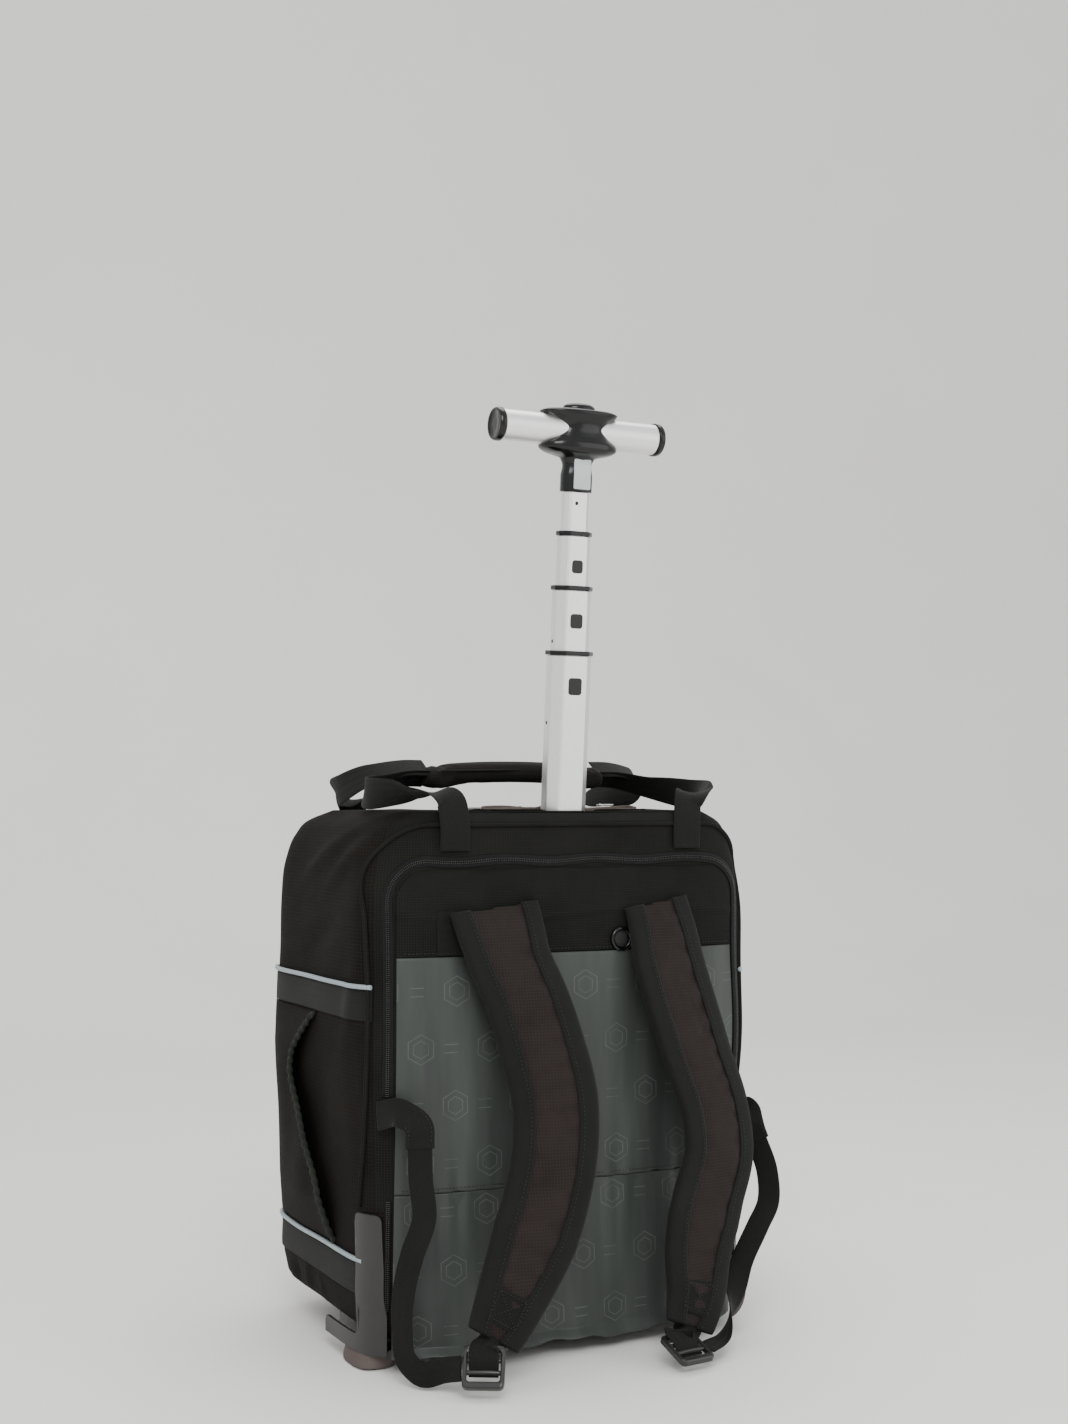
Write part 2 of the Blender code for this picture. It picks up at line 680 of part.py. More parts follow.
def make_eyelet():
    """A plastic ring set in the yoke."""
    place = back_point(EYELET_X, EYELET_Z, SKIN_LIFT + PANEL_THICK + FIT + EYELET_WIRE)
    bpy.ops.mesh.primitive_torus_add(
        major_radius=EYELET_RADIUS, minor_radius=EYELET_WIRE, major_segments=16, minor_segments=6,
        location=tuple(place), rotation=(math.pi / 2, 0.0, 0.0),
    )
    obj = bpy.context.active_object
    obj.name = "eyelet"
    for owner in list(obj.users_collection):
        owner.objects.unlink(obj)
    PARTS.objects.link(obj)
    obj.data.materials.append(material("eyelet", "black_plastic"))


# Straps and webbing


def smooth_line(points, count):
    """Points evenly spread along a centripetal-like cubic through the given points."""
    points = np.asarray(points, float)
    along = np.concatenate([[0.0], np.cumsum(np.linalg.norm(np.diff(points, axis=0), axis=1))])
    slopes = np.gradient(points, along, axis=0)
    wanted = np.linspace(0.0, along[-1], count)
    span = np.clip(np.searchsorted(along, wanted, side="right") - 1, 0, len(along) - 2)
    h = (along[span + 1] - along[span])[:, None]
    t = ((wanted - along[span]) / h[:, 0])[:, None]
    p, q, m, n = points[span], points[span + 1], slopes[span], slopes[span + 1]
    blend = 2 * t**3 - 3 * t**2
    return (1 + blend) * p - blend * q + (t**3 - 2 * t**2 + t) * h * m + (t**3 - t**2) * h * n


def frames(line, across):
    """Unit width and thickness directions along a line, from rough width directions."""
    along = np.gradient(line, axis=0)
    along /= np.linalg.norm(along, axis=1)[:, None]
    width = across - (across * along).sum(1)[:, None] * along
    width /= np.linalg.norm(width, axis=1)[:, None]
    return width, np.cross(along, width)


def ribbon_faces(count):
    """Faces of a twisted band with four corners to a ring: flat triangles, with both broad sides split
    along the same diagonal so that the band keeps its thickness."""
    faces = [(3, 2, 1, 0), tuple(range(4 * count - 4, 4 * count))]
    for near in range(0, 4 * count - 4, 4):
        far = near + 4
        faces += [(near, near + 1, far + 1), (near, far + 1, far)]
        faces += [(near + 1, near + 2, far + 2), (near + 1, far + 2, far + 1)]
        faces += [(near + 2, near + 3, far + 2), (near + 3, far + 3, far + 2)]
        faces += [(near + 3, near, far), (near + 3, far, far + 3)]
    return faces


def ribbon(name, points, across, width, thickness, count, surface):
    """Flat webbing along points; across gives a rough width direction at each of them."""
    line = smooth_line(points, count)
    steps = np.linspace(0, 1, len(points))
    along = np.linspace(0, 1, count)
    rough = np.stack([np.interp(along, steps, np.asarray(across, float)[:, k]) for k in range(3)], axis=1)
    side, up = frames(line, rough)
    w, t = side * width / 2, up * thickness / 2
    rings = np.stack([line - w - t, line + w - t, line + w + t, line - w + t], axis=1)
    mesh = mesh_of(name, rings.reshape(-1, 3), ribbon_faces(count))
    outwards(mesh)
    return add_object(name, mesh, surface)


STRAP_RINGS = 22
# corners of a strap's section, as shares of its half width and half thickness
STRAP_SECTION = ((-1, -0.35), (-0.8, -1), (0.8, -1), (1, -0.35), (1, 0.35), (0.8, 1), (-0.8, 1), (-1, 0.35))


def make_shoulder_strap(name, side, table):
    """A padded strap: an oval section carried down its middle line, slimmer at both ends."""
    points = []
    for row in table:
        points.append((side * HARNESS_X + row["shift"], BACK_Y - row["stand"], row["height"]))
    line = smooth_line(points, STRAP_RINGS)
    along = np.linspace(0, 1, STRAP_RINGS)
    turns = np.radians(np.interp(along, np.linspace(0, 1, len(table)), [row["turn"] for row in table]))
    across = np.stack([np.cos(turns), np.sin(turns), np.zeros(STRAP_RINGS)], axis=1)
    width, up = frames(line, across)
    slim = np.minimum(1.0, STRAP_SLIM + (1 - STRAP_SLIM) * np.minimum(along, 1 - along) / 0.08)
    taper = np.minimum(1.0, STRAP_TAPER + (1 - STRAP_TAPER) * (1 - along) / TAPER_SHARE)
    rings = []
    for k in range(STRAP_RINGS):
        w = width[k] * STRAP_WIDTH / 2 * taper[k]
        t = up[k] * STRAP_THICK / 2 * slim[k]
        rings.append([line[k] + w * u + t * v for u, v in STRAP_SECTION])
    loft("shoulder_strap_" + name, rings, "strap_cloth")
    return points


# Where each buckle lies: its middle across the back, in from the straps' reach and above the floor, and
# its tilt and turn in degrees
BUCKLES = dict(
    left=dict(x=-0.1235, inward=0.0290, z=0.0235, tilt=48, turn=-30),
    right=dict(x=0.0600, inward=0.0185, z=0.0165, tilt=22, turn=6),
)


def make_buckle(name, place, turn):
    """A ladder-lock buckle: a plate with two slots for the webbing, lying near the floor."""
    plate = box_mesh(
        "buckle_" + name,
        (-BUCKLE_WIDTH / 2, -BUCKLE_LENGTH / 2, -BUCKLE_THICK / 2),
        (BUCKLE_WIDTH / 2, BUCKLE_LENGTH / 2, BUCKLE_THICK / 2),
    )
    obj = add_object("buckle_" + name, plate, "black_plastic")
    obj.location = place
    obj.rotation_euler = turn
    slot = (BUCKLE_LENGTH - 3 * BUCKLE_BAR) / 2
    for k, sign in enumerate((-1, 1)):
        middle = sign * (BUCKLE_BAR + slot) / 2
        hole = box_mesh(
            "buckle_hole",
            (-BUCKLE_WIDTH / 2 + BUCKLE_BAR * 0.6, middle - slot / 2, -BUCKLE_THICK),
            (BUCKLE_WIDTH / 2 - BUCKLE_BAR * 0.6, middle + slot / 2, BUCKLE_THICK),
        )
        tool = cutter("buckle_hole_" + name + "_" + str(k), hole)
        tool.parent = obj
        cut(obj, tool)
    return obj


# The loose webbing from the side seam to each buckle, a row for each bend: place from the back and the
# middle as shares of BODY_WIDTH / 2, stand-off from the back and height, in metres, and width direction
LEFT_WEB = (
    dict(x=-0.824, stand=0.028, z=0.190, across=(0.9, -0.4, 0.0)),
    dict(x=-0.822, stand=0.029, z=0.165, across=(0.9, -0.4, 0.0)),
    dict(x=-0.809, stand=0.030, z=0.134, across=(0.9, -0.4, 0.0)),
    dict(x=-0.864, stand=0.030, z=0.106, across=(0.8, -0.5, 0.0)),
    dict(x=-0.896, stand=0.028, z=0.078, across=(0.7, -0.6, 0.0)),
    dict(x=-0.900, stand=0.026, z=0.047, across=(0.6, -0.7, 0.0)),
    dict(x=-0.885, stand=0.030, z=0.022, across=(0.5, -0.7, 0.3)),
    dict(x=-0.839, stand=0.040, z=0.013, across=(0.3, -0.3, 0.8)),
    dict(x=-0.769, stand=0.052, z=0.018, across=(0.2, 0.0, 1.0)),
    dict(x=-0.7245, stand=0.0675, z=0.0225, across=(0.2, 0.3, 1.0)),
)
RIGHT_WEB = (
    dict(x=0.948, stand=0.012, z=0.165, across=(0.6, -0.8, 0.0)),
    dict(x=0.955, stand=0.026, z=0.141, across=(0.6, -0.8, 0.0)),
    dict(x=0.931, stand=0.034, z=0.115, across=(0.7, -0.7, 0.0)),
    dict(x=0.860, stand=0.038, z=0.097, across=(0.8, -0.5, 0.2)),
    dict(x=0.740, stand=0.045, z=0.067, across=(0.8, -0.2, 0.5)),
    dict(x=0.655, stand=0.056, z=0.037, across=(0.7, 0.5, 0.4)),
    dict(x=0.560, stand=0.070, z=0.0175, across=(0.4, 1.0, 0.1)),
    dict(x=0.407, stand=0.086, z=0.0130, across=(0.0, 1.0, 0.1)),
)


def make_loose_ends():
    """The hoods, the lower webbing and the buckles of both shoulder straps."""
    for name, side, table in (("left", -1, LEFT_WEB), ("right", 1, RIGHT_WEB)):
        points = [(row["x"] * HALF_WIDTH, BACK_Y - row["stand"], row["z"]) for row in table]
        ribbon("strap_web_" + name, points, [row["across"] for row in table], WEB_WIDTH, WEB_THICK, 20, "webbing")
        rise = np.array(points[0]) - np.array(points[1])
        rise /= np.linalg.norm(rise)
        top = np.array(points[0]) + 2 * FIT * rise
        seam = back_point(side * HOOD_SEAM * HALF_WIDTH, top[2] + HOOD_RISE, lift=HOOD_LIFT)
        brow = top + HOOD_SLEEVE * rise
        hood = [seam, (seam + brow) / 2 + np.array(HOOD_FOLD), brow, (brow + 2 * top) / 3, top]
        directions = [(0.0, 0.3, 1.0), (0.3, 0.0, 1.0), (0.7, -0.3, 0.3), table[0]["across"], table[0]["across"]]
        ribbon("strap_hood_" + name, hood, directions, HOOD_WIDTH, WEB_THICK, 12, "webbing")


# Top handle


# Each handle webbing's free bends: sideways from HANDLE_X, share of the way from the bag's edge in to the
# grip, height above the bag's top as a share of HANDLE_RISE, and width direction
REAR_WEB = (
    dict(out=0.004, inward=0.016, rise=0.294, across=(1.0, 0.2, 0.1)),
    dict(out=0.030, inward=0.195, rise=0.471, across=(0.5, -0.2, 0.8)),
    dict(out=0.050, inward=0.642, rise=0.456, across=(0.1, -0.3, 1.0)),
    dict(out=0.030, inward=0.902, rise=0.618, across=(0.0, -0.7, 0.7)),
)
FRONT_WEB = (
    dict(out=0.002, inward=0.000, rise=0.103, across=(1.0, -0.2, 0.1)),
    dict(out=0.028, inward=0.241, rise=0.426, across=(0.5, 0.2, 0.8)),
    dict(out=0.040, inward=0.593, rise=0.559, across=(0.1, 0.3, 1.0)),
    dict(out=0.026, inward=0.870, rise=0.912, across=(0.0, 0.7, 0.7)),
)


def make_handle_web(name, side, sewn, edge_y, table, level, face):
    """One webbing: its sewn points, its free bends, and its straight end in the grip; face is -1 for the
    rear one and 1 for the front one."""
    grip_y = BODY_Y + HANDLE_Y
    points = list(sewn)
    across = [(1.0, 0.0, 0.0)] * len(sewn)
    for row in table:
        y = edge_y + row["inward"] * (grip_y - edge_y)
        points.append((HANDLE_X + row["out"], y, BODY_TOP + row["rise"] * HANDLE_RISE))
        across.append(row["across"])
    end = GRIP_LENGTH / 2
    grip_z = BODY_TOP + HANDLE_RISE + level
    points += [(end + HANDLE_LEAD, grip_y, grip_z), (end + FIT, grip_y, grip_z)]
    across += [(0.0, face, 0.1), (0.0, face, 0.0)]
    mirror = np.array((side, 1, 1))
    ribbon(name, points * mirror, across * mirror, HANDLE_WEB, WEB_THICK, 2 * len(points) + 2, "webbing")


def make_handle():
    """Four webbings that rise from the bag's top to the ends of one padded grip."""
    grip_y = BODY_Y + HANDLE_Y
    grip_z = BODY_TOP + HANDLE_RISE
    end = GRIP_LENGTH / 2
    x = HANDLE_X
    foot_z = ZIP_TOP + ZIP_TAPE
    rear_z = BODY_TOP - REAR_SEAM
    front_z = BODY_TOP - FRONT_SEAM
    rear = [
        (x, back_point(x, foot_z, SKIN_LIFT + ZIP_THICK)[1], foot_z),
        (x, back_point(x, rear_z, REAR_LIFT)[1], rear_z),
    ]
    front = [(x, front_point(x, front_z, FRONT_LIFT)[1], front_z)]
    for name, side in SIDES:
        make_handle_web("handle_web_rear_" + name, side, rear, BACK_Y, REAR_WEB, -HANDLE_SPLIT, -1)
        make_handle_web("handle_web_front_" + name, side, front, BODY_Y + FRONT_WEB_Y, FRONT_WEB, HANDLE_SPLIT, 1)
    rings = []
    for share in (-1.0, -0.96, -0.7, 0.0, 0.7, 0.96, 1.0):
        swell = 0.72 if abs(share) == 1.0 else 1.0
        droop = -0.004 * (abs(share) ** 2)
        rings.append([
            (
                share * end,
                grip_y + swell * GRIP_WIDTH / 2 * math.cos(t),
                grip_z + droop + swell * GRIP_HEIGHT / 2 * math.sin(t),
            )
            for t in [2 * math.pi * k / 12 for k in range(12)]
        ])
    loft("grip_wrap", rings, "ripstop")


# Running gear


def make_chassis():
    """The plain moulded base in the bag: a floor plate with a wheel housing at each rear corner."""
    plate_z = BODY_BOTTOM + CLOTH + FIT
    half_x = WHEEL_WIDTH / 2 + WHEEL_GAP
    plate_half = WHEEL_X - half_x - HOUSING_WALL / 2
    plate = box_mesh(
        "chassis",
        (-plate_half, BACK_Y + 0.020, plate_z),
        (plate_half, BODY_Y + 0.72 * BODY_DEPTH / 2, plate_z + FLOOR_PLATE),
    )
    obj = add_object("chassis", plate, "black_plastic")
    half_y = WHEEL_RADIUS + WHEEL_GAP
    top = 2 * WHEEL_RADIUS + WHEEL_GAP
    for name, side in SIDES:
        x, y = side * WHEEL_X, BODY_Y + WHEEL_Y
        outer = box_mesh(
            "housing_" + name,
            (x - half_x - HOUSING_WALL, y - half_y - HOUSING_WALL, HOUSING_RIM),
            (x + half_x + HOUSING_WALL, y + half_y + HOUSING_WALL, top + HOUSING_WALL),
        )
        cut(obj, cutter("housing_" + name, outer), "UNION")
        inner = box_mesh("bay_" + name, (x - half_x, y - half_y, -0.01), (x + half_x, y + half_y, top))
        cut(obj, cutter("bay_" + name, inner))
    return obj


def make_wheels():
    """A tyre on a hub for each side, turned about the axle, and the axle between the housing's walls."""
    half = WHEEL_WIDTH / 2
    rim = WHEEL_RADIUS - TYRE_THICK
    tyre = [
        (rim, half * 0.90), (WHEEL_RADIUS - 0.003, half), (WHEEL_RADIUS, half * 0.72),
        (WHEEL_RADIUS, -half * 0.72), (WHEEL_RADIUS - 0.003, -half), (rim, -half * 0.90),
    ]
    bore = AXLE_RADIUS + AXLE_GAP
    hub = [
        (bore, half * 0.80), (bore * 2.6, half * 0.80), (bore * 3.0, half * 0.35), (rim * 0.82, half * 0.35),
        (rim * 0.86, half * 0.80), (rim - FIT, half * 0.80),
        (rim - FIT, -half * 0.80), (rim * 0.86, -half * 0.80), (rim * 0.82, -half * 0.35),
        (bore * 3.0, -half * 0.35), (bore * 2.6, -half * 0.80), (bore, -half * 0.80),
    ]
    for name, side in SIDES:
        centre = (side * WHEEL_X, BODY_Y + WHEEL_Y, WHEEL_RADIUS)
        axis = add_empty("wheel_axis_" + name, centre, (0.0, math.pi / 2, 0.0))
        for node, profile, surface in (("tyre_", tyre, "rubber"), ("hub_", hub, "black_plastic")):
            turned(node + name, profile, surface, axis, steps=20)
        length = WHEEL_WIDTH + 2 * WHEEL_GAP - 2 * FIT
        pin = add_object("axle_" + name, cylinder_mesh("axle_" + name, AXLE_RADIUS, length, 12), "puller_metal")
        pin.location = centre


def turned(name, profile, surface, parent, steps):
    """A closed profile of radius and height turned about the parent's Z axis."""
    mesh = mesh_of(name, [(r, 0.0, z) for r, z in profile], [])
    work = bmesh.new()
    work.from_mesh(mesh)
    work.verts.ensure_lookup_table()
    for k in range(len(profile)):
        work.edges.new((work.verts[k], work.verts[(k + 1) % len(profile)]))
    work.to_mesh(mesh)
    work.free()
    obj = add_object(name, mesh, surface, parent)
    screw = obj.modifiers.new("turn", "SCREW")
    screw.steps = steps
    screw.render_steps = steps
    screw.use_merge_vertices = True
    screw.merge_threshold = 0.0001
    return obj


def make_guards_and_feet():
    """An L-shaped guard round each rear corner, and a plain foot under each front corner."""
    base = BODY_BOTTOM + 0.06 * BODY_HEIGHT
    columns = 15
    for name, side in SIDES:
        b = outline_at(base)[1]
        rows = []
        sole = GUARD_FOOT + GUARD_SOLE
        levels = (GUARD_FOOT, sole, sole + GUARD_BEND, GUARD_TOP - GUARD_NARROW, GUARD_TOP)
        angle_corner = math.radians(GUARD_TURN)
        angle_end = math.asin(((b - GUARD_REACH) / b) ** (SQUARENESS / 2))
        angle_leg = math.asin(((b - GUARD_LEG) / b) ** (SQUARENESS / 2))
        angles = [*np.linspace(angle_corner, angle_leg, 8), *np.linspace(angle_leg, angle_end, 8)[1:]]
        for z in levels:
            row = []
            for t in angles:
                angle = -t if side > 0 else -math.pi + t
                point = section_point(angle, max(z, base), SKIN_LIFT)
                row.append(np.array((point[0], point[1], z)))
            rows.append(row if side > 0 else row[::-1])
        grid = np.array(rows)
        faces = []
        for i in range(len(levels) - 1):
            for j in range(columns - 1):
                column = j if side > 0 else columns - 2 - j
                if i == 0 or column < 7 or (i == 1 and column == 7):
                    first = i * columns + j
                    faces.append((first, first + 1, first + columns + 1, first + columns))
        used = sorted({index for face in faces for index in face})
        order = {index: k for k, index in enumerate(used)}
        points = grid.reshape(-1, 3)[used]
        mesh = mesh_of("corner_guard_" + name, points, [tuple(order[i] for i in face) for face in faces])
        obj = add_object("corner_guard_" + name, mesh, "guard_plastic")
        solidify(obj, GUARD_THICK)
        height = BODY_BOTTOM - FIT
        pad = add_object(
            "foot_" + name, cylinder_mesh("foot_" + name, FOOT_RADIUS, height, 16, axis="Z"), "black_plastic"
        )
        pad.location = (side * FOOT_X, BODY_Y + FOOT_Y, height / 2)


# Telescopic pole


def octagon(width, thick, chamfer):
    """The tube's section: a flat box with cut corners."""
    w, t, c = width / 2, thick / 2, chamfer
    return [
        (w, -t + c), (w, t - c), (w - c, t), (-w + c, t),
        (-w, t - c), (-w, -t + c), (-w + c, -t), (w - c, -t),
    ]


def ring_outlines(width, thick, chamfer, wall):
    """An octagon and the octagon a wall inside it."""
    inner_chamfer = chamfer - wall * (2 - math.sqrt(2))
    return octagon(width, thick, chamfer), octagon(width - 2 * wall, thick - 2 * wall, inner_chamfer)


def make_pole():
    """The fixed channel, four tubes and their collars, each centred on the leaning axis."""
    base = add_empty("pole_base", (0.0, POLE_Y, BODY_TOP), (POLE_LEAN, 0.0, 0.0))
    first = TUBES[0]
    play = 2 * TUBE_PLAY
    floor_top = BODY_BOTTOM + CLOTH + 2 * FIT + FLOOR_PLATE
    channel_low = (floor_top + 0.0015 - BODY_TOP) / math.cos(POLE_LEAN)
    wide = first["width"] + play + 2 * CHANNEL_WALL
    deep = first["thick"] + play + 2 * CHANNEL_WALL
    chamfer = first["chamfer"] + (TUBE_PLAY + CHANNEL_WALL) * (2 - math.sqrt(2))
    place_ring("pole_channel", base, ring_outlines(wide, deep, chamfer, CHANNEL_WALL),
               channel_low, -CHANNEL_SHORT, "aluminium")
    height = 0.0
    for k, tube in enumerate(TUBES, start=1):
        top = height + tube["shown"]
        outlines = ring_outlines(tube["width"], tube["thick"], tube["chamfer"], TUBE_WALL)
        place_ring("tube_" + str(k), base, outlines, height - tube["hidden"], top, "aluminium")
        if k < len(TUBES):
            inside = TUBES[k]
            outer = octagon(
                tube["width"] + 2 * COLLAR_PROUD, tube["thick"] + 2 * COLLAR_PROUD,
                tube["chamfer"] + COLLAR_PROUD * (2 - math.sqrt(2)),
            )
            grow = FIT * (2 - math.sqrt(2))
            hole = octagon(inside["width"] + 2 * FIT, inside["thick"] + 2 * FIT, inside["chamfer"] + grow)
            seat = top + FIT
            place_ring("collar_" + str(k), base, (outer, hole), seat, seat + COLLAR_HEIGHT, "black_plastic")
            height = top + COLLAR_HEIGHT
        else:
            height = top
    return base, height


def place_ring(name, base, outlines, low, high, surface):
    """A hollow bar of the pole between two heights along its axis."""
    obj = add_object(name, outline_mesh(name, outlines, high - low), surface, base)
    obj.location = (0.0, 0.0, (low + high) / 2)
    return obj


# T handle: a row for each ring, height from the bar's middle as a share of HUB_HALF_HEIGHT, half width and
# half depth as shares of HUB_HALF_WIDTH and HUB_HALF_DEPTH
HUB_RINGS = (
    dict(height=-1.42, width=0.40, depth=0.49),
    dict(height=-1.30, width=0.44, depth=0.53),
    dict(height=-1.10, width=0.82, depth=0.86),
    dict(height=-0.92, width=0.98, depth=0.99),
    dict(height=-0.72, width=1.00, depth=1.00),
    dict(height=-0.30, width=0.78, depth=0.88),
    dict(height=0.12, width=0.67, depth=0.82),
    dict(height=0.45, width=0.76, depth=0.86),
    dict(height=0.82, width=0.99, depth=0.97),
    dict(height=0.96, width=0.98, depth=0.96),
    dict(height=1.00, width=0.88, depth=0.88),
)


def make_grip(base, height):
    """The spool-shaped hub with its neck, the round bar through it, the end caps and the button."""
    bar_z = height + FIT + NECK_LENGTH + 1.30 * HUB_HALF_HEIGHT
    angles = [2 * math.pi * k / 20 for k in range(20)]
    neck = dict(height=-(1.30 * HUB_HALF_HEIGHT + NECK_LENGTH) / HUB_HALF_HEIGHT, width=0.40, depth=0.49)
    rings = []
    for row in (neck, *HUB_RINGS):
        rings.append([
            (
                row["width"] * HUB_HALF_WIDTH * math.copysign(abs(math.cos(t)) ** 0.8, math.cos(t)),
                row["depth"] * HUB_HALF_DEPTH * math.copysign(abs(math.sin(t)) ** 0.8, math.sin(t)),
                row["height"] * HUB_HALF_HEIGHT,
            )
            for t in angles
        ])
    hub = loft("grip_hub", rings, "black_plastic", base)
    hub.location = (0.0, 0.0, bar_z)
    bore = cutter("bar_bore", cylinder_mesh("bar_bore", BAR_RADIUS + FIT, 2.2 * HUB_HALF_WIDTH, 20))
    pocket = cutter("button_pocket", oval_mesh("button_pocket", FIT, BAR_RADIUS * 0.2, HUB_HALF_HEIGHT * 1.5))
    for tool in (bore, pocket):
        tool.parent = base
        tool.location = (0.0, 0.0, bar_z)
        cut(hub, tool)
    rod = cylinder_mesh("cross_bar", BAR_RADIUS, 2 * BAR_HALF_LENGTH, 20)
    bar = add_object("cross_bar", rod, "aluminium", base)
    bar.location = (0.0, 0.0, bar_z)
    for name, side in SIDES:
        cap = add_object(
            "bar_cap_" + name, cylinder_mesh("bar_cap_" + name, CAP_RADIUS, CAP_LENGTH, 20), "black_plastic", base
        )
        cap.location = (side * (BAR_HALF_LENGTH + FIT + CAP_LENGTH / 2), 0.0, bar_z)
        edge = cap.modifiers.new("edge", "BEVEL")
        edge.width = 0.0012
        edge.segments = 1
    low = BAR_RADIUS + FIT + BUTTON_TRAVEL
    button = add_object("release_button", oval_mesh("release_button", 0.0, low, low + BUTTON_DOME, dome=True),
                        "black_plastic", base)
    button.location = (0.0, 0.0, bar_z)


def oval_mesh(name, grow, low, high, dome=False):
    """An oval plug of the button's size, with a domed top if asked."""
    levels = [(low, 1.0), (high, 1.0)]
    if dome:
        rim = low + 0.35 * (high - low)
        levels = [(low, 1.0), (rim, 1.0), (rim + 0.40 * (high - rim), 0.90), (high - 0.1 * (high - rim), 0.60),
                  (high, 0.25)]
    rings = []
    for z, share in levels:
        rings.append([
            (
                share * (BUTTON_HALF_WIDTH + grow) * math.cos(2 * math.pi * k / 16),
                share * (BUTTON_HALF_DEPTH + grow) * math.sin(2 * math.pi * k / 16),
                z,
            )
            for k in range(16)
        ])
    rings = np.array(rings)
    faces = grid_faces(len(rings), 16, wrap=True)
    faces.append(tuple(range(16))[::-1])
    faces.append(tuple(range((len(rings) - 1) * 16, len(rings) * 16)))
    mesh = mesh_of(name, rings.reshape(-1, 3), faces)
    outwards(mesh)
    return mesh


make_body()
make_front_pocket()
for side_name, side_sign in SIDES:
    make_side_pocket(side_name, side_sign)
    guard_edge = GUARD_LEG + 0.002 - outline_at(BAND_LOWER_TOP)[1]
    for level, back, band_top in (("upper", SIDE_BACK_Y, BAND_UPPER_TOP), ("lower", guard_edge, BAND_LOWER_TOP)):
        make_band("band_" + level + "_" + side_name, side_sign, back, band_top)
        make_piping("piping_" + level + "_" + side_name, side_sign, back, band_top)
make_back_sheets()
make_flap()
make_zips()
make_binding()
make_eyelet()
make_shoulder_strap("left", -1, LEFT_STRAP)
make_shoulder_strap("right", 1, RIGHT_STRAP)
make_loose_ends()
for side_name, place in BUCKLES.items():
    middle = (place["x"], BACK_Y - STRAP_REACH + place["inward"], place["z"])
    make_buckle(side_name, middle, (math.radians(place["tilt"]), 0.0, math.radians(place["turn"])))
make_handle()
make_chassis()
make_wheels()
make_guards_and_feet()
pole_base, pole_top = make_pole()
make_grip(pole_base, pole_top)
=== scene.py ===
# %% [markdown]
# # A wheeled backpack
#
# A soft rucksack stands on two small wheels, and a pole with a T handle slides out of its top. The packed
# solids give the sizes, the joints and the collision. This lesson dresses them: cloth, webbing, zips,
# padded straps and small mouldings. Nearly every piece is a surface worked out with numpy, because a
# formula keeps its real size and can be changed one number at a time.

# %% Load the frame
import json
import math

import bpy
import numpy as np
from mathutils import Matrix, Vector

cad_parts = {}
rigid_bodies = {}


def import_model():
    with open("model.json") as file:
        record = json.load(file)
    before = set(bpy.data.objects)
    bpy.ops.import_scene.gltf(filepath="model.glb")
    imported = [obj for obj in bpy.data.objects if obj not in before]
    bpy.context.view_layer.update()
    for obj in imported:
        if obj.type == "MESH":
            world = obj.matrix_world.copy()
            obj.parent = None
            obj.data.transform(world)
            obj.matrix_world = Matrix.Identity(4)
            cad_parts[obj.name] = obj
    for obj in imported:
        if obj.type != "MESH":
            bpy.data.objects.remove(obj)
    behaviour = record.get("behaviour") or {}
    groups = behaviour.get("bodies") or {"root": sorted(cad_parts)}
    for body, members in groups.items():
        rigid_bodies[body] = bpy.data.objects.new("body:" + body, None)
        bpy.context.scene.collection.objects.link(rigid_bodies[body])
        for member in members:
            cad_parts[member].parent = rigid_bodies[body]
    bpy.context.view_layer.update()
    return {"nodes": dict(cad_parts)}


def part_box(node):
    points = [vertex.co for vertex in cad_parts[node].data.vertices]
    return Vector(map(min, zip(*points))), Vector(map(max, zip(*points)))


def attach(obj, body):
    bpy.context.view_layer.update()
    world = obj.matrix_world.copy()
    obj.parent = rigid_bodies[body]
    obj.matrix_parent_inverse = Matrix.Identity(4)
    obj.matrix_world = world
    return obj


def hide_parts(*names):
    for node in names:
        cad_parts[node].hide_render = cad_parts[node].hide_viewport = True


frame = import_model()
MM = 0.001
SIDES = (("left", -1), ("right", 1))

# %% [markdown]
# ## The camera
#
# The bag is seen from behind and from its left, nearly level, from a metre and a half away. The camera
# comes first, because what it sees decides where detail is worth making.

# %% Camera
def linked(name, data):
    """A new object of the scene for a mesh, a lamp or a camera."""
    obj = bpy.data.objects.new(name, data)
    bpy.context.scene.collection.objects.link(obj)
    return obj


shell_low, shell_high = (np.array(corner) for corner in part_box("bag_shell"))
BACK_Y = shell_low[1]
camera_data = bpy.data.cameras.new("camera")
camera_data.sensor_fit = "VERTICAL"
camera_data.sensor_height = 36.0
camera_data.lens = 45.5
camera = linked("camera", camera_data)
camera.location = (-0.75, BACK_Y - 1.3945, 0.4755)
camera.rotation_euler = (math.radians(92.8), 0.0, math.radians(-27.0))
bpy.context.scene.camera = camera
print("camera", [round(c, 3) for c in camera.location])

# %% [markdown]
# ## Meshes from grids
#
# A soft piece is one grid of points: rows in one direction, columns in the other. One helper makes the
# mesh and a UV map in metres, so that a weave has its real scale on every piece. With columns that run
# anticlockwise seen from where the rows are heading, every face points outwards.

# %% Grid helper
def unit(v):
    """Directions made one long."""
    return v / np.maximum(np.linalg.norm(v, axis=-1, keepdims=True), 1e-9)


def run_along(line):
    """The length run through at each point of a line, or the mean one of a grid of lines side by side."""
    steps = np.linalg.norm(np.diff(line, axis=0), axis=-1).reshape(len(line) - 1, -1)
    return np.concatenate([[0.0], np.cumsum(steps.mean(axis=1))])


def meshed(name, points, faces, material):
    """A smooth shaded object through corner points and faces."""
    mesh = bpy.data.meshes.new(name)
    mesh.from_pydata(points.reshape(-1, 3).tolist(), [], faces)
    mesh.polygons.foreach_set("use_smooth", np.ones(len(faces), bool))
    mesh.materials.append(material)
    mesh.update()
    return linked(name, mesh)


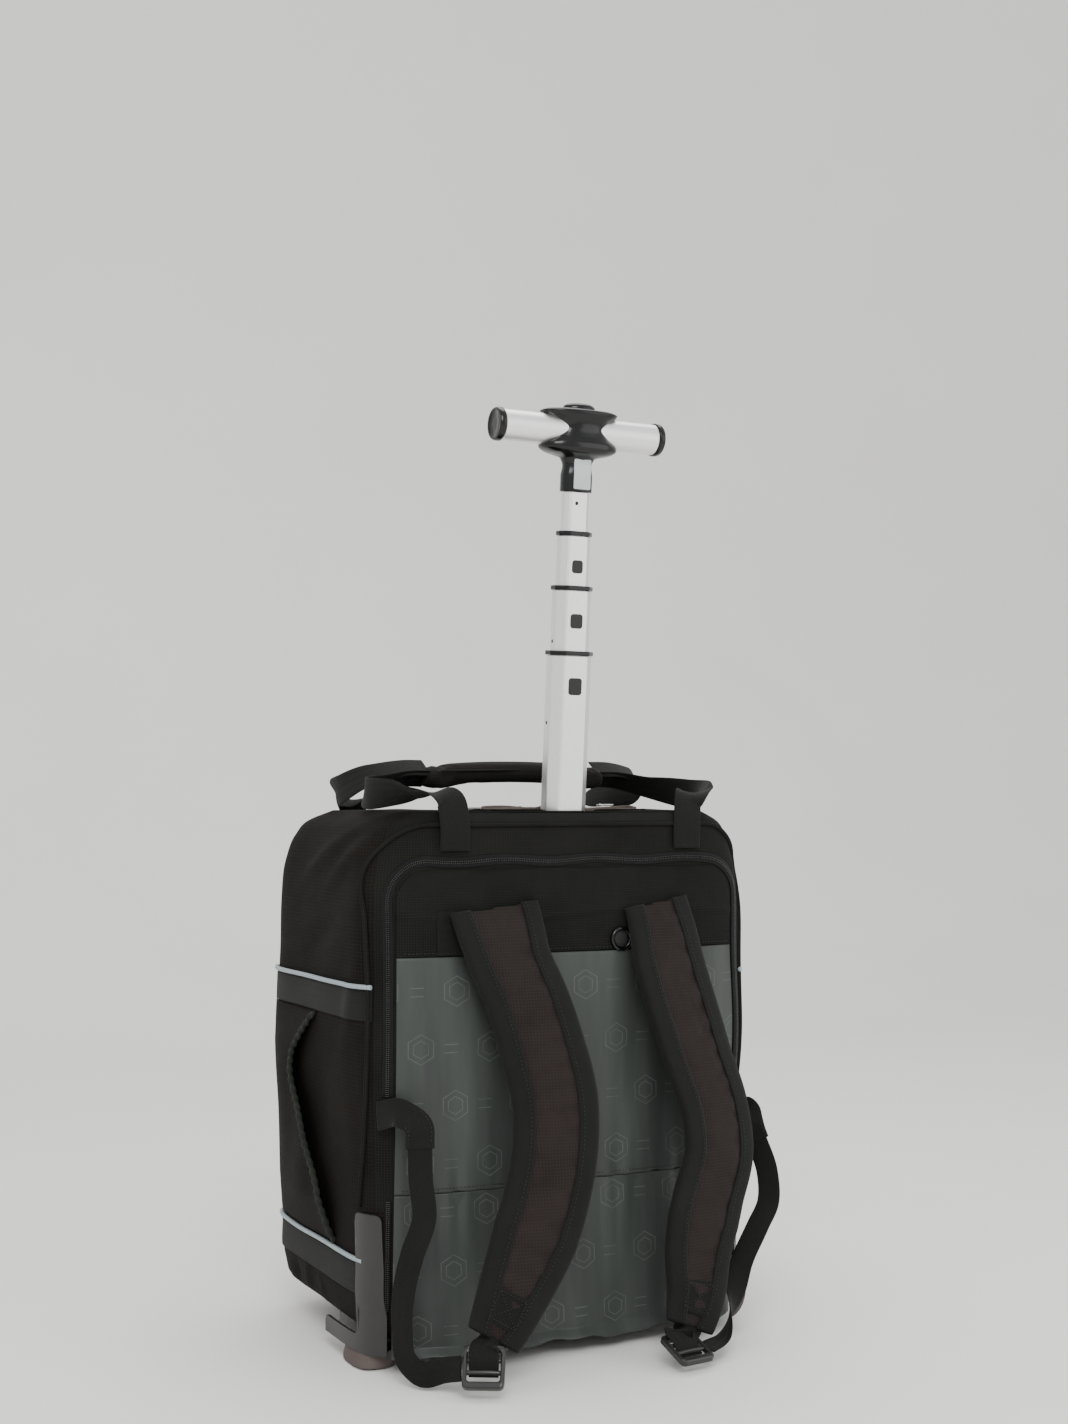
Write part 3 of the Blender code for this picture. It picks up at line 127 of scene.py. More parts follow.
def surface(name, points, material, wrap=False, caps="", wall=0.0):
    """A mesh through a grid of points (rows, columns, 3). UV is the mean length run through so far, across
    and along. wrap joins the last column to the first, caps fills the first (a) or last (z) ring, and
    wall thickens the surface outwards, or inwards where it is negative."""
    points = np.asarray(points, float)
    rows, columns = points.shape[:2]
    ring = np.concatenate([points, points[:, :1]], axis=1) if wrap else points
    u, v = run_along(ring.swapaxes(0, 1)), run_along(points)
    i, j = (k.ravel() for k in np.meshgrid(np.arange(rows - 1), np.arange(len(u) - 1), indexing="ij"))
    low, high, beside = i * columns, (i + 1) * columns, (j + 1) % columns
    faces = np.stack([low + j, low + beside, high + beside, high + j], axis=1).tolist()
    uv = np.stack([u[j], v[i], u[j + 1], v[i], u[j + 1], v[i + 1], u[j], v[i + 1]], axis=1).reshape(-1, 2)
    for end, first in (("a", 0), ("z", (rows - 1) * columns)):
        if end in caps:
            faces.append(list(range(first, first + columns))[::-1 if end == "a" else 1])
            uv = np.concatenate([uv, points.reshape(-1, 3)[faces[-1]][:, :2]])
    obj = meshed(name, points, faces, material)
    obj.data.uv_layers.new(name="cloth").data.foreach_set("uv", uv.astype(np.float32).ravel())
    if wall:
        thick = obj.modifiers.new("wall", "SOLIDIFY")
        thick.thickness = abs(wall)
        thick.offset = math.copysign(1.0, wall)
    obj["cut"] = [float(u[-1]), float(v[-1])]
    return obj


def crisp(obj, angle=38.0):
    """Keeps a moulded or metal piece's edges crisp and its flats flat."""
    obj.data.set_sharp_from_angle(angle=math.radians(angle))
    obj.modifiers.new("flat faces", "WEIGHTED_NORMAL").keep_sharp = True
    return obj


def placed(obj, body, replaces=()):
    """Lets a piece ride on a body, and stand for the solids it replaces."""
    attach(obj, body)
    if replaces:
        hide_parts(*replaces)
    return obj

# %% [markdown]
# ## Colours and nodes
#
# Colours are written as the sRGB hex values that a colour chart lists, and one function turns them into
# the linear values that a shader mixes. One more small function adds a node with its settings and links,
# so that each material below reads as a short recipe.

# %% Colour and node helpers
def linear(code):
    """The linear colour of an sRGB hex value, by the sRGB curve."""
    c = np.array([int(code[k:k + 2], 16) / 255 for k in (1, 3, 5)])
    return (*np.where(c <= 0.04045, c / 12.92, ((c + 0.055) / 1.055) ** 2.4).tolist(), 1.0)


def add(tree, kind, links=None, **settings):
    """Adds a node: settings are its own properties, links give its inputs a value or a socket."""
    node = tree.nodes.new("ShaderNode" + kind)
    for key, value in settings.items():
        setattr(node, key, value)
    for key, value in (links or {}).items():
        if isinstance(value, bpy.types.NodeSocket):
            tree.links.new(value, node.inputs[key])
        else:
            node.inputs[key].default_value = value
    return node


def new_material(name, **constants):
    """A Principled material with constants on its own sockets: the material, its tree and its shader."""
    material = bpy.data.materials.new(name)
    material.use_nodes = True
    shader = material.node_tree.nodes["Principled BSDF"]
    for key, value in constants.items():
        shader.inputs[key.replace("_", " ")].default_value = value
    return material, material.node_tree, shader


def joined(tree, shader, **sockets):
    """Links sockets into the shader's own, whose names have _ for a space here."""
    for key, socket in sockets.items():
        tree.links.new(socket, shader.inputs[key.replace("_", " ")])


def bands_per(pitch):
    """The Wave Texture's scale for one band each pitch: it turns 20 radians for each unit of scale."""
    return math.tau / (20 * pitch)


# %% [markdown]
# ## Ripstop
#
# Ripstop is a thin plain weave with a thicker thread every few millimetres, which shows as a faint
# squared grid. Single threads of 0.3 mm are too fine for the render, so the weave is drawn at 0.9 mm and
# the thick threads at their real 3 mm or so. The squares come from two bands of the Wave Texture, a slow
# noise shifts the shade as handling does, and a coarser noise in the bump crumples the cloth.

# %% Ripstop material
PLAIN_WEAVE = 0.9 * MM


def ripstop(name, dark, light, grid=3.2 * MM, crumple=0.9 * MM, roughness=0.82, line=0.85):
    """Plain weave with a squared grid of thicker threads, on the piece's UV map in metres."""
    material, tree, shader = new_material(name, Roughness=roughness, Specular_IOR_Level=0.1)
    uv = add(tree, "UVMap", uv_map="cloth").outputs["UV"]
    squares, weave = [], []
    for axis in "XY":
        wide = add(tree, "TexWave", {"Vector": uv, "Scale": bands_per(grid)}, bands_direction=axis)
        squares.append(add(tree, "Math", {0: wide.outputs["Fac"], 1: 7.0}, operation="POWER").outputs[0])
        fine = add(tree, "TexWave", {"Vector": uv, "Scale": bands_per(PLAIN_WEAVE)}, bands_direction=axis)
        weave.append(fine.outputs["Fac"])
    lines = add(tree, "Math", {0: squares[0], 1: squares[1]}, operation="MAXIMUM").outputs[0]
    threads = add(tree, "Math", {0: weave[0], 1: weave[1]}, operation="MULTIPLY").outputs[0]
    patchy = add(tree, "TexNoise", {"Vector": uv, "Scale": 16.0, "Detail": 4.0}).outputs["Fac"]
    share = add(tree, "Math", {0: patchy, 1: 1.3, 2: -0.35}, operation="MULTIPLY_ADD").outputs[0]
    share = add(tree, "Math", {0: lines, 1: line, 2: share}, operation="MULTIPLY_ADD",
                use_clamp=True).outputs[0]
    colour = add(tree, "Mix", {0: share, 6: linear(dark), 7: linear(light)}, data_type="RGBA").outputs[2]
    cloth = add(tree, "Math", {0: lines, 1: 0.7, 2: threads}, operation="MULTIPLY_ADD").outputs[0]
    low = add(tree, "TexNoise", {"Vector": uv, "Scale": 38.0, "Detail": 3.0, "Distortion": 0.6}).outputs[0]
    folds = add(tree, "Bump", {"Height": low, "Strength": 0.55, "Distance": crumple}).outputs["Normal"]
    bump = add(tree, "Bump", {"Height": cloth, "Strength": 0.6, "Distance": 0.25 * MM, "Normal": folds})
    joined(tree, shader, Base_Color=colour, Normal=bump.outputs["Normal"])
    return material


body_ripstop = ripstop("coated ripstop nylon, dark brown", "#080706", "#1d1916")
yoke_ripstop = ripstop("coated ripstop nylon, fine squares", "#0a0a09", "#1e1e1b", grid=2.2 * MM)
strap_ripstop = ripstop("ripstop nylon, brown charcoal", "#100d0b", "#241e1b", 2.6 * MM, crumple=1.4 * MM)
lining = ripstop("taffeta lining, pinkish grey", "#453d3a", "#706661", 1.6 * MM, line=0.15, roughness=0.6)
print("ripstop materials:", 4)

# %% [markdown]
# ## The satin panel
#
# The lower back is a calendered cloth: pressed between hot rollers until its threads lie flat, which
# gives it a satin sheen and a greener grey. It carries a pale print. Here that is a generic one: outlined
# hexagons and short dashes, staggered like bricks, each drawn from the distance to a shape's edge. The sum
# is long, so it is a table: each row names its result, the operation and what goes into it.

# %% Satin panel material
CELL_WIDTH, CELL_HEIGHT = 62 * MM, 48 * MM
# two hexagons, the outer of 11 mm and the inner of 6.5 mm, and two dashes 12 mm long, 7 mm apart
PRINT_STEPS = (
    ("row", "DIVIDE", "v", CELL_HEIGHT), ("row", "FLOOR", "row"), ("odd", "FLOORED_MODULO", "row", 2.0),
    ("shift", "MULTIPLY", "odd", CELL_WIDTH / 2), ("x", "ADD", "u", "shift"),
    ("x", "FLOORED_MODULO", "x", CELL_WIDTH), ("x", "SUBTRACT", "x", CELL_WIDTH / 2),
    ("y", "FLOORED_MODULO", "v", CELL_HEIGHT), ("y", "SUBTRACT", "y", CELL_HEIGHT / 2),
    ("y", "ABSOLUTE", "y"), ("across", "ADD", "x", 10 * MM), ("across", "ABSOLUTE", "across"),
    ("part", "MULTIPLY", "across", 0.5), ("slant", "MULTIPLY", "y", 0.866),
    ("slant", "ADD", "part", "slant"), ("size", "MAXIMUM", "across", "slant"),
    ("outer", "COMPARE", "size", 11 * MM, 0.45 * MM), ("inner", "COMPARE", "size", 6.5 * MM, 0.4 * MM),
    ("dash", "COMPARE", "x", 17 * MM, 6 * MM), ("line", "COMPARE", "y", 3.5 * MM, 0.45 * MM),
    ("dash", "MULTIPLY", "dash", "line"), ("motif", "MAXIMUM", "outer", "inner"),
    ("motif", "MAXIMUM", "motif", "dash"),
)


def printed_satin(name, dark, light, ink):
    """Pressed cloth with staggered motifs: a cell's own place comes from the remainder of UV by the cell's
    size, a hexagon's edge from the largest of three distances, a dash from a box's sides."""
    material, tree, shader = new_material(
        name, Roughness=0.5, Sheen_Weight=0.05, Sheen_Roughness=0.4, Specular_IOR_Level=0.35)
    uv = add(tree, "UVMap", uv_map="cloth").outputs["UV"]
    split = add(tree, "SeparateXYZ", {0: uv})
    known = {"u": split.outputs[0], "v": split.outputs[1]}
    for result, operation, *parts in PRINT_STEPS:
        links = {k: known[part] if isinstance(part, str) else part for k, part in enumerate(parts)}
        known[result] = add(tree, "Math", links, operation=operation).outputs[0]
    worn = add(tree, "TexNoise", {"Vector": uv, "Scale": 60.0, "Detail": 5.0}).outputs["Fac"]
    worn = add(tree, "Math", {0: worn, 1: 0.9, 2: -0.12}, operation="MULTIPLY_ADD", use_clamp=True).outputs[0]
    faint = add(tree, "Math", {0: known["motif"], 1: worn}, operation="MULTIPLY").outputs[0]
    # painted soft shading: a noise stretched upright mixes the cloth between its dark and light colour in
    # long lighter and darker streaks; the same stretched place also shapes the folds in the bump below
    streak = add(tree, "Mapping", {"Vector": uv, "Scale": (26.0, 3.5, 1.0)}).outputs[0]
    slow = add(tree, "TexNoise", {"Vector": streak, "Scale": 1.0, "Detail": 3.0}).outputs["Fac"]
    slow = add(tree, "Math", {0: slow, 1: 2.2, 2: -0.6}, operation="MULTIPLY_ADD", use_clamp=True).outputs[0]
    cloth = add(tree, "Mix", {0: slow, 6: linear(dark), 7: linear(light)}, data_type="RGBA").outputs[2]
    colour = add(tree, "Mix", {0: faint, 6: cloth, 7: linear(ink)}, data_type="RGBA").outputs[2]
    squares = [add(tree, "TexWave", {"Vector": uv, "Scale": bands_per(1.8 * MM)},
                   bands_direction=axis).outputs["Fac"] for axis in "XY"]
    weave = add(tree, "Math", dict(enumerate(squares)), operation="MAXIMUM").outputs[0]
    low = add(tree, "TexNoise", {"Vector": streak, "Scale": 1.6, "Detail": 3.0}).outputs["Fac"]
    folds = add(tree, "Bump", {"Height": low, "Strength": 0.6, "Distance": 1.5 * MM}).outputs["Normal"]
    bump = add(tree, "Bump", {"Height": weave, "Strength": 0.2, "Distance": 0.12 * MM, "Normal": folds})
    joined(tree, shader, Base_Color=colour, Normal=bump.outputs["Normal"])
    return material


satin = printed_satin("calendered polyester, grey green", "#222624", "#3e433f", "#5a5f5a")
print("print:", len(PRINT_STEPS), "steps")

# %% [markdown]
# ## Webbing, binding and piping
#
# Webbing is woven in herringbone: the ribs run across it and change slant every few millimetres. Folding
# U into a zigzag and adding it to V gives exactly that. The reflective piping is a smooth tape with fine
# cross ribs, each broken into dots, drawn at 1.6 mm because the real 0.8 mm would not show.

# %% Webbing and piping materials
def herringbone(name, dark, light, rib=2.0 * MM, zigzag=3.5 * MM):
    """Ribs across the band: a wave of V plus U folded into a zigzag."""
    material, tree, shader = new_material(name, Roughness=0.8, Sheen_Weight=0.04, Specular_IOR_Level=0.18)
    uv = add(tree, "UVMap", uv_map="cloth").outputs["UV"]
    split = add(tree, "SeparateXYZ", {0: uv})
    fold = add(tree, "Math", {0: split.outputs[0], 1: zigzag}, operation="PINGPONG").outputs[0]
    along = add(tree, "Math", {0: split.outputs[1], 1: fold}, operation="ADD").outputs[0]
    slanted = add(tree, "CombineXYZ", {0: along}).outputs[0]
    ribs = add(tree, "TexWave", {"Vector": slanted, "Scale": bands_per(rib)}).outputs["Fac"]
    slow = add(tree, "TexNoise", {"Vector": uv, "Scale": 22.0, "Detail": 3.0}).outputs["Fac"]
    share = add(tree, "Math", {0: ribs, 1: slow}, operation="MULTIPLY").outputs[0]
    colour = add(tree, "Mix", {0: share, 6: linear(dark), 7: linear(light)}, data_type="RGBA").outputs[2]
    bump = add(tree, "Bump", {"Height": ribs, "Strength": 0.6, "Distance": 0.35 * MM})
    joined(tree, shader, Base_Color=colour, Normal=bump.outputs["Normal"])
    return material


webbing = herringbone("nylon webbing, herringbone", "#050504", "#20221e")
binding = herringbone("grosgrain binding, charcoal green", "#090a08", "#1f211d", rib=1.6 * MM, zigzag=30 * MM)
braid_cloth = herringbone("twisted cord, dark green grey", "#10120e", "#3b3f37", rib=1.8 * MM, zigzag=30 * MM)
tape = herringbone("polyester zip tape, woven", "#0a0a0a", "#1c1c1c", rib=1.2 * MM, zigzag=1.2 * MM)

piping, tree, shader = new_material("reflective piping, ribbed film", Roughness=0.42, Specular_IOR_Level=0.6)
uv = add(tree, "UVMap", uv_map="cloth").outputs["UV"]
cross = [add(tree, "TexWave", {"Vector": uv, "Scale": bands_per(1.6 * MM)},
             bands_direction=axis).outputs["Fac"] for axis in "XY"]
dots = add(tree, "Math", dict(enumerate(cross)), operation="MULTIPLY").outputs[0]
colour = add(tree, "Mix", {0: dots, 6: linear("#76858a"), 7: linear("#c3cdcf")}, data_type="RGBA").outputs[2]
bump = add(tree, "Bump", {"Height": dots, "Strength": 0.5, "Distance": 0.3 * MM})
joined(tree, shader, Base_Color=colour, Normal=bump.outputs["Normal"])
print("woven materials:", 5)

# %% [markdown]
# ## Metal, plastic and rubber
#
# The pole is aluminium, drawn, blasted and anodised: nearly white, with fine lines along its length. The
# mouldings are either smooth gloss ABS or a spark-eroded satin surface with a grain of about 0.4 mm. All
# of these are hard pieces that never bend, so their patterns read Object coordinates.

# %% Hard materials
def moulded(name, dark, light, roughness, grain=0.4 * MM, depth=0.25, **constants):
    """Moulded plastic: a fine grain in the bump, and a slow noise in the colour and in the gloss."""
    material, tree, shader = new_material(name, **constants)
    place = add(tree, "TexCoord").outputs["Object"]
    slow = add(tree, "TexNoise", {"Vector": place, "Scale": 45.0, "Detail": 4.0}).outputs["Fac"]
    colour = add(tree, "Mix", {0: slow, 6: linear(dark), 7: linear(light)}, data_type="RGBA").outputs[2]
    gloss = add(tree, "MapRange", {"Value": slow, "To Min": roughness * 0.75, "To Max": roughness * 1.25})
    fine = add(tree, "TexNoise", {"Vector": place, "Scale": 0.5 / grain, "Detail": 2.0}).outputs["Fac"]
    bump = add(tree, "Bump", {"Height": fine, "Strength": depth, "Distance": 0.1 * MM})
    joined(tree, shader, Base_Color=colour, Roughness=gloss.outputs[0], Normal=bump.outputs["Normal"])
    return material


gloss_abs = moulded("ABS, gloss black", "#040404", "#0a0a0a", 0.2, depth=0.03, Specular_IOR_Level=0.32,
                    Coat_Weight=0.1, Coat_Roughness=0.08)
satin_abs = moulded("ABS, satin dark grey", "#161615", "#292826", 0.42, depth=0.3)
acetal = moulded("acetal buckle, black with a grey sheen", "#0b0b0a", "#201f1e", 0.33, depth=0.15)
rubber = moulded("rubber tread, black", "#0b0b0b", "#1b1a19", 0.8, grain=0.8 * MM, depth=0.5)
dark_coil = moulded("nylon coil, black", "#232322", "#4a4a48", 0.3, depth=0.1)
light_coil = moulded("nylon coil, light grey", "#7c7d7a", "#b9bab6", 0.4, depth=0.1)
thread = moulded("polyester thread, dark", "#0c0d0b", "#1e1f1c", 0.7)
light_panel = moulded("ABS, light grey, textured", "#9fa3a3", "#c2c6c5", 0.45, grain=0.8 * MM, depth=0.6)
puller_metal = moulded("die-cast zinc, bright plated", "#a9a9a8", "#dadad8", 0.28, depth=0.1, Metallic=1.0)


def anodised(name, dark, light, roughness, along=(1400.0, 1400.0, 12.0)):
    """Anodised aluminium: long fine drawing lines from a noise stretched along the tube."""
    material, tree, shader = new_material(name, Metallic=1.0)
    place = add(tree, "TexCoord").outputs["Object"]
    lines = add(tree, "Mapping", {"Vector": place, "Scale": along}).outputs[0]
    fine = add(tree, "TexNoise", {"Vector": lines, "Scale": 1.0, "Detail": 3.0}).outputs["Fac"]
    colour = add(tree, "Mix", {0: fine, 6: linear(dark), 7: linear(light)}, data_type="RGBA").outputs[2]
    gloss = add(tree, "MapRange", {"Value": fine, "To Min": roughness - 0.05, "To Max": roughness + 0.07})
    bump = add(tree, "Bump", {"Height": fine, "Strength": 0.08, "Distance": 0.05 * MM})
    joined(tree, shader, Base_Color=colour, Roughness=gloss.outputs[0], Normal=bump.outputs["Normal"])
    return material


aluminium = anodised("aluminium, drawn and anodised", "#dededc", "#f4f4f2", 0.36)
bar_metal = anodised("aluminium, satin anodised bar", "#e2e2e0", "#f7f7f5", 0.42, (12.0, 1400.0, 1400.0))
print("materials:", len(bpy.data.materials))

# %% [markdown]
# ## The bag's shape
#
# The body is a rounded box: each section is a superellipse, and a short table says how wide and deep it
# is at each height. A smooth cubic runs through the rows. Everything sewn on the body is placed by the
# same functions, so that a zip or a pocket follows each bulge and fold.

# %% Body formulas
def smooth(x, xs, ys):
    """A smooth cubic through the rows ys at xs, with the table's mean slopes."""
    x, xs, ys = (np.asarray(k, float) for k in (x, xs, ys))
    slopes = np.gradient(ys, xs, axis=0)
    k = np.clip(np.searchsorted(xs, x, side="right") - 1, 0, len(xs) - 2)
    spread = (...,) + (None,) * (ys.ndim - 1)
    h = (xs[k + 1] - xs[k])[spread]
    t = (x - xs[k])[spread] / h
    b = 3 * t**2 - 2 * t**3
    return ((1 - b) * ys[k] + b * ys[k + 1] + (t**3 - 2 * t**2 + t) * h * slopes[k]
            + (t**3 - t**2) * h * slopes[k + 1])


SQUARENESS = 7.5
HALF_WIDTH = shell_high[0]
MIDDLE_Y = (shell_low[1] + shell_high[1]) / 2
HALF_DEPTH = (shell_high[1] - shell_low[1]) / 2
BOTTOM, TOP = shell_low[2], shell_high[2]
# height, half width, back and front half depths, as shares
OUTLINE = np.array([
    (0.00, 0.860, 0.930, 0.800), (0.02, 0.925, 0.955, 0.900), (0.06, 0.960, 0.970, 0.950),
    (0.15, 0.968, 0.980, 0.970), (0.32, 0.980, 0.990, 0.990), (0.52, 1.000, 1.000, 1.000),
    (0.70, 0.998, 1.000, 0.990), (0.82, 0.990, 0.995, 0.965), (0.90, 0.970, 0.990, 0.930),
    (0.95, 0.935, 0.985, 0.870), (0.98, 0.885, 0.980, 0.780), (1.00, 0.790, 0.975, 0.640),
])


def outline(z):
    """Half width, back and front half depth of the body at heights z."""
    share = np.clip((np.asarray(z, float) - BOTTOM) / (TOP - BOTTOM), 0.0, 1.0)
    shape = smooth(share, OUTLINE[:, 0], OUTLINE[:, 1:])
    return shape[..., 0] * HALF_WIDTH, shape[..., 1] * HALF_DEPTH, shape[..., 2] * HALF_DEPTH


# ends of each fold (x, y, z), its half width and its height, in metres
FOLDS = np.array([
    (-0.180, -0.075, 0.452, -0.194, 0.020, 0.395, 0.010, 0.0042),
    (-0.176, -0.040, 0.458, -0.194, 0.085, 0.402, 0.009, 0.0036),
    (-0.186, -0.086, 0.420, -0.192, -0.055, 0.385, 0.008, 0.0030),
    (-0.192, -0.020, 0.370, -0.194, 0.060, 0.345, 0.012, -0.0030),
    (-0.192, -0.060, 0.350, -0.193, -0.030, 0.260, 0.011, 0.0022),
    (-0.190, -0.050, 0.255, -0.190, -0.060, 0.150, 0.012, -0.0026),
    (-0.186, 0.040, 0.058, -0.184, 0.034, 0.028, 0.006, 0.0028),
    (-0.186, 0.070, 0.060, -0.184, 0.078, 0.028, 0.007, 0.0032),
    (-0.186, 0.098, 0.056, -0.184, 0.110, 0.030, 0.007, -0.0030),
    (0.182, -0.070, 0.450, 0.194, 0.010, 0.390, 0.011, 0.0038),
    (0.178, -0.030, 0.456, 0.194, 0.080, 0.400, 0.010, 0.0034),
    (0.190, -0.060, 0.250, 0.190, -0.050, 0.150, 0.012, -0.0024),
    (-0.110, 0.170, 0.400, 0.060, 0.172, 0.380, 0.014, 0.0032),
    (-0.060, -0.030, 0.466, 0.050, 0.060, 0.466, 0.012, 0.0030),
    (0.020, 0.010, 0.466, 0.120, 0.080, 0.466, 0.014, -0.0034),
    (-0.130, 0.030, 0.466, -0.040, 0.100, 0.466, 0.012, -0.0030),
])
rng = np.random.default_rng(11)
WAVES = rng.normal(size=(7, 3))
WAVES *= (math.tau / rng.uniform(0.07, 0.16, size=(7, 1))) / np.linalg.norm(WAVES, axis=1)[:, None]
PHASES = rng.uniform(0, math.tau, 7)
WAVE_HEIGHT = 0.42 * MM


def relief(p):
    """How far the cloth stands out at body points p: slow seeded waves and a ridge of bell section along
    each fold, both faded out at the stiff rear corners low down."""
    total = np.sin(np.einsum("...k,wk->...w", p, WAVES) + PHASES).sum(-1) * WAVE_HEIGHT
    for row in FOLDS:
        start, run = row[:3], row[3:6] - row[:3]
        t = np.clip(((p - start) * run).sum(-1) / (run @ run), -0.15, 1.15)
        away = np.linalg.norm(p - start - t[..., None] * run, axis=-1)
        fading = np.clip(1.15 - np.abs(2 * t - 1) * 0.85, 0, 1)
        total = total + row[7] * np.exp(-(away / row[6]) ** 2) * fading
    corner = np.exp(-((np.abs(p[..., 0]) - 0.185) / 0.05) ** 2 - ((p[..., 1] + 0.06) / 0.085) ** 2
                    - ((p[..., 2] - 0.05) / 0.085) ** 2)
    return total * np.clip(1 - 1.6 * corner, 0, 1)


def lifted(x, y, z, lift, folded=True):
    """Body points at x, y (from the middle) and z, moved out along the section's normal by the lift and
    by the relief."""
    x, y, z = np.broadcast_arrays(*(np.asarray(k, float) for k in (x, y, z)))
    a, back, front = outline(z)
    b = np.where(y < 0, back, front)
    n = np.stack([np.sign(x) * np.abs(x / a) ** (SQUARENESS - 1) / a,
                  np.sign(y) * np.abs(y / b) ** (SQUARENESS - 1) / b, np.zeros_like(x)], axis=-1)
    p = np.stack([x, MIDDLE_Y + y, z], axis=-1)
    return p + (np.asarray(lift)[..., None] + (relief(p)[..., None] if folded else 0.0)) * unit(n)


def other_half(value, half, depth):
    """The superellipse's other coordinate: depth (1 - |value / half|^n)^(1/n)."""
    share = np.clip(np.abs(value / half), 0, 0.99999)
    return depth * (1 - share**SQUARENESS) ** (1 / SQUARENESS)


def on_back(x, z, lift=0.3 * MM, folded=True):
    """Points on the back at widths x and heights z."""
    a, back, _ = outline(z)
    x = np.clip(x, -0.9999 * a, 0.9999 * a)
    return lifted(x, -other_half(x, a, back), z, lift, folded)


def on_front(x, z, lift=0.3 * MM):
    """Points on the front at widths x and heights z."""
    a, _, front = outline(z)
    return lifted(x, other_half(x, a, front), z, lift)


def on_side(side, y, z, lift=0.3 * MM, folded=True):
    """Points on a side (-1 left, 1 right) at depths y from the middle and heights z."""
    a, back, front = outline(z)
    b = np.where(np.asarray(y) < 0, back, front)
    return lifted(side * other_half(y, b, a), y, z, lift, folded)


print("body", round(2 * HALF_WIDTH, 3), round(2 * HALF_DEPTH, 3), round(TOP - BOTTOM, 3))

# %% [markdown]
# ## The cloth body
#
# One closed surface runs from the pole's slot over the top, down the walls and under the bottom. It is
# hollow: Solidify gives it the cloth's thickness, and two boxes cut out the wheel wells. The Booleans are
# applied at once, because a live one would be worked out again at each change of the scene.

# %% Cloth body
CLOTH, COLUMNS = 1.6 * MM, 264
WHEEL_X, WHEEL_Y, WHEEL_Z = 0.155, MIDDLE_Y - 0.0595, 0.035
SLOT_HALF, SLOT_POWER = (0.075, 0.021), 5
SLOT_Y = BACK_Y + 0.0065 + SLOT_HALF[1]
turn = np.linspace(-math.pi, math.pi, COLUMNS, endpoint=False)


def applied(obj):
    """Puts the result of an object's modifiers into its mesh and drops them."""
    graph = bpy.context.evaluated_depsgraph_get()
    graph.update()
    seen = obj.evaluated_get(graph)
    mesh = bpy.data.meshes.new_from_object(seen, preserve_all_data_layers=True, depsgraph=graph)
    obj.modifiers.clear()
    obj.data = mesh
    return obj


def read(items, field):
    """The points (co) or the faces' middles (center) of a mesh as an array."""
    values = np.empty(len(items) * 3)
    items.foreach_get(field, values)
    return values.reshape(-1, 3)


def reach_at(angle, a, b, power):
    """How far a superellipse of half axes a and b reaches from its middle at an angle."""
    return (np.abs(np.cos(angle) / a) ** power + np.abs(np.sin(angle) / b) ** power) ** (-1 / power)


walls_z = (BOTTOM + (TOP - BOTTOM) * (1 - np.linspace(0, 1, 104) ** 1.25))[:, None]
a, back, front = outline(walls_z)
r = reach_at(turn[None], a, np.where(turn[None] < 0, back, front), SQUARENESS)
x, y = r * np.cos(turn)[None], r * np.sin(turn)[None]
walls = lifted(x, y, np.broadcast_to(walls_z, x.shape), np.zeros_like(x))
slot_r = reach_at(turn, *SLOT_HALF, SLOT_POWER)
slot_ring = np.stack([slot_r * np.cos(turn), SLOT_Y + slot_r * np.sin(turn), np.full(COLUMNS, TOP)], axis=1)
over = np.linspace(0, 1, 22)[:-1, None, None]
top_rows = slot_ring + (walls[0] - slot_ring) * over
top_rows[..., 2] = TOP + relief(top_rows) * np.sin(math.pi * over[..., 0]) ** 0.7
under = np.linspace(1, 0.004, 12)[1:, None, None]
centre = np.array([0.0, MIDDLE_Y, BOTTOM])
bottom_rows = centre + (walls[-1] - centre) * under
grid = np.concatenate([top_rows, walls, bottom_rows])[::-1]
bag = surface("bag_body", grid, body_ripstop, wrap=True, caps="a", wall=-CLOTH)
wells = []
for _, side in SIDES:
    bpy.ops.mesh.primitive_cube_add(size=1, location=(side * WHEEL_X, WHEEL_Y, WHEEL_Z + 1 * MM))
    wells.append(bpy.context.object)
    wells[-1].scale = (0.0358, 0.0798, 0.0778)
    cut = bag.modifiers.new("well", "BOOLEAN")
    cut.object = wells[-1]
    cut.solver = "EXACT"
applied(bag)
for well in wells:
    bpy.data.objects.remove(well, do_unlink=True)
bag.data.materials.append(yoke_ripstop)
middles = read(bag.data.polygons, "center")
on_rear = (middles[:, 1] < BACK_Y + 0.020) & (np.abs(middles[:, 0]) < 0.1835) & (middles[:, 2] > 0.13)
bag.data.polygons.foreach_set("material_index", on_rear.astype(np.int32))
placed(bag, "bag", ["bag_shell"])
print("bag body:", len(bag.data.polygons), "faces")

# %% [markdown]
# ## Pieces sewn flat on the body
#
# The yoke, the satin panel, the bands and the top binding are cloth laid on the body. Each is a grid in
# width and height, put on the body by the same formulas and thickened by a millimetre or so. The satin
# panel is gathered along its lower seam, so it gets puckers that fade away upwards.

# %% Yoke and satin panel
ZIP_HALF, ZIP_TOP, ZIP_FOOT, ZIP_CORNER = 0.1715, 0.4235, 0.228, 0.034
PANEL_HALF, YOKE_TOP, YOKE_FOOT, PANEL_FOOT, YOKE_CORNER = 0.165, 0.4165, 0.3435, 0.1465, 0.0275


def noted(obj):
    """Prints a piece's name and how large a sheet of cloth its grid spans, across and along."""
    print(obj.name, [round(k, 3) for k in obj["cut"]])


def spread(half, count):
    """Widths from -half to half, closer together towards the corners."""
    return half * np.sin(math.pi / 2 * np.linspace(-1, 1, count))


def puckers(x, z, seam, height, reach):
    """Gathers at a seam: uneven ripples across, dying away from the seam."""
    ripple = np.sin(math.tau * x / 0.017 + 2.3 * np.sin(41 * x)) + 0.6 * np.sin(math.tau * x / 0.031 + 1.7)
    return height * ripple * np.exp(-np.abs(z - seam) / reach)


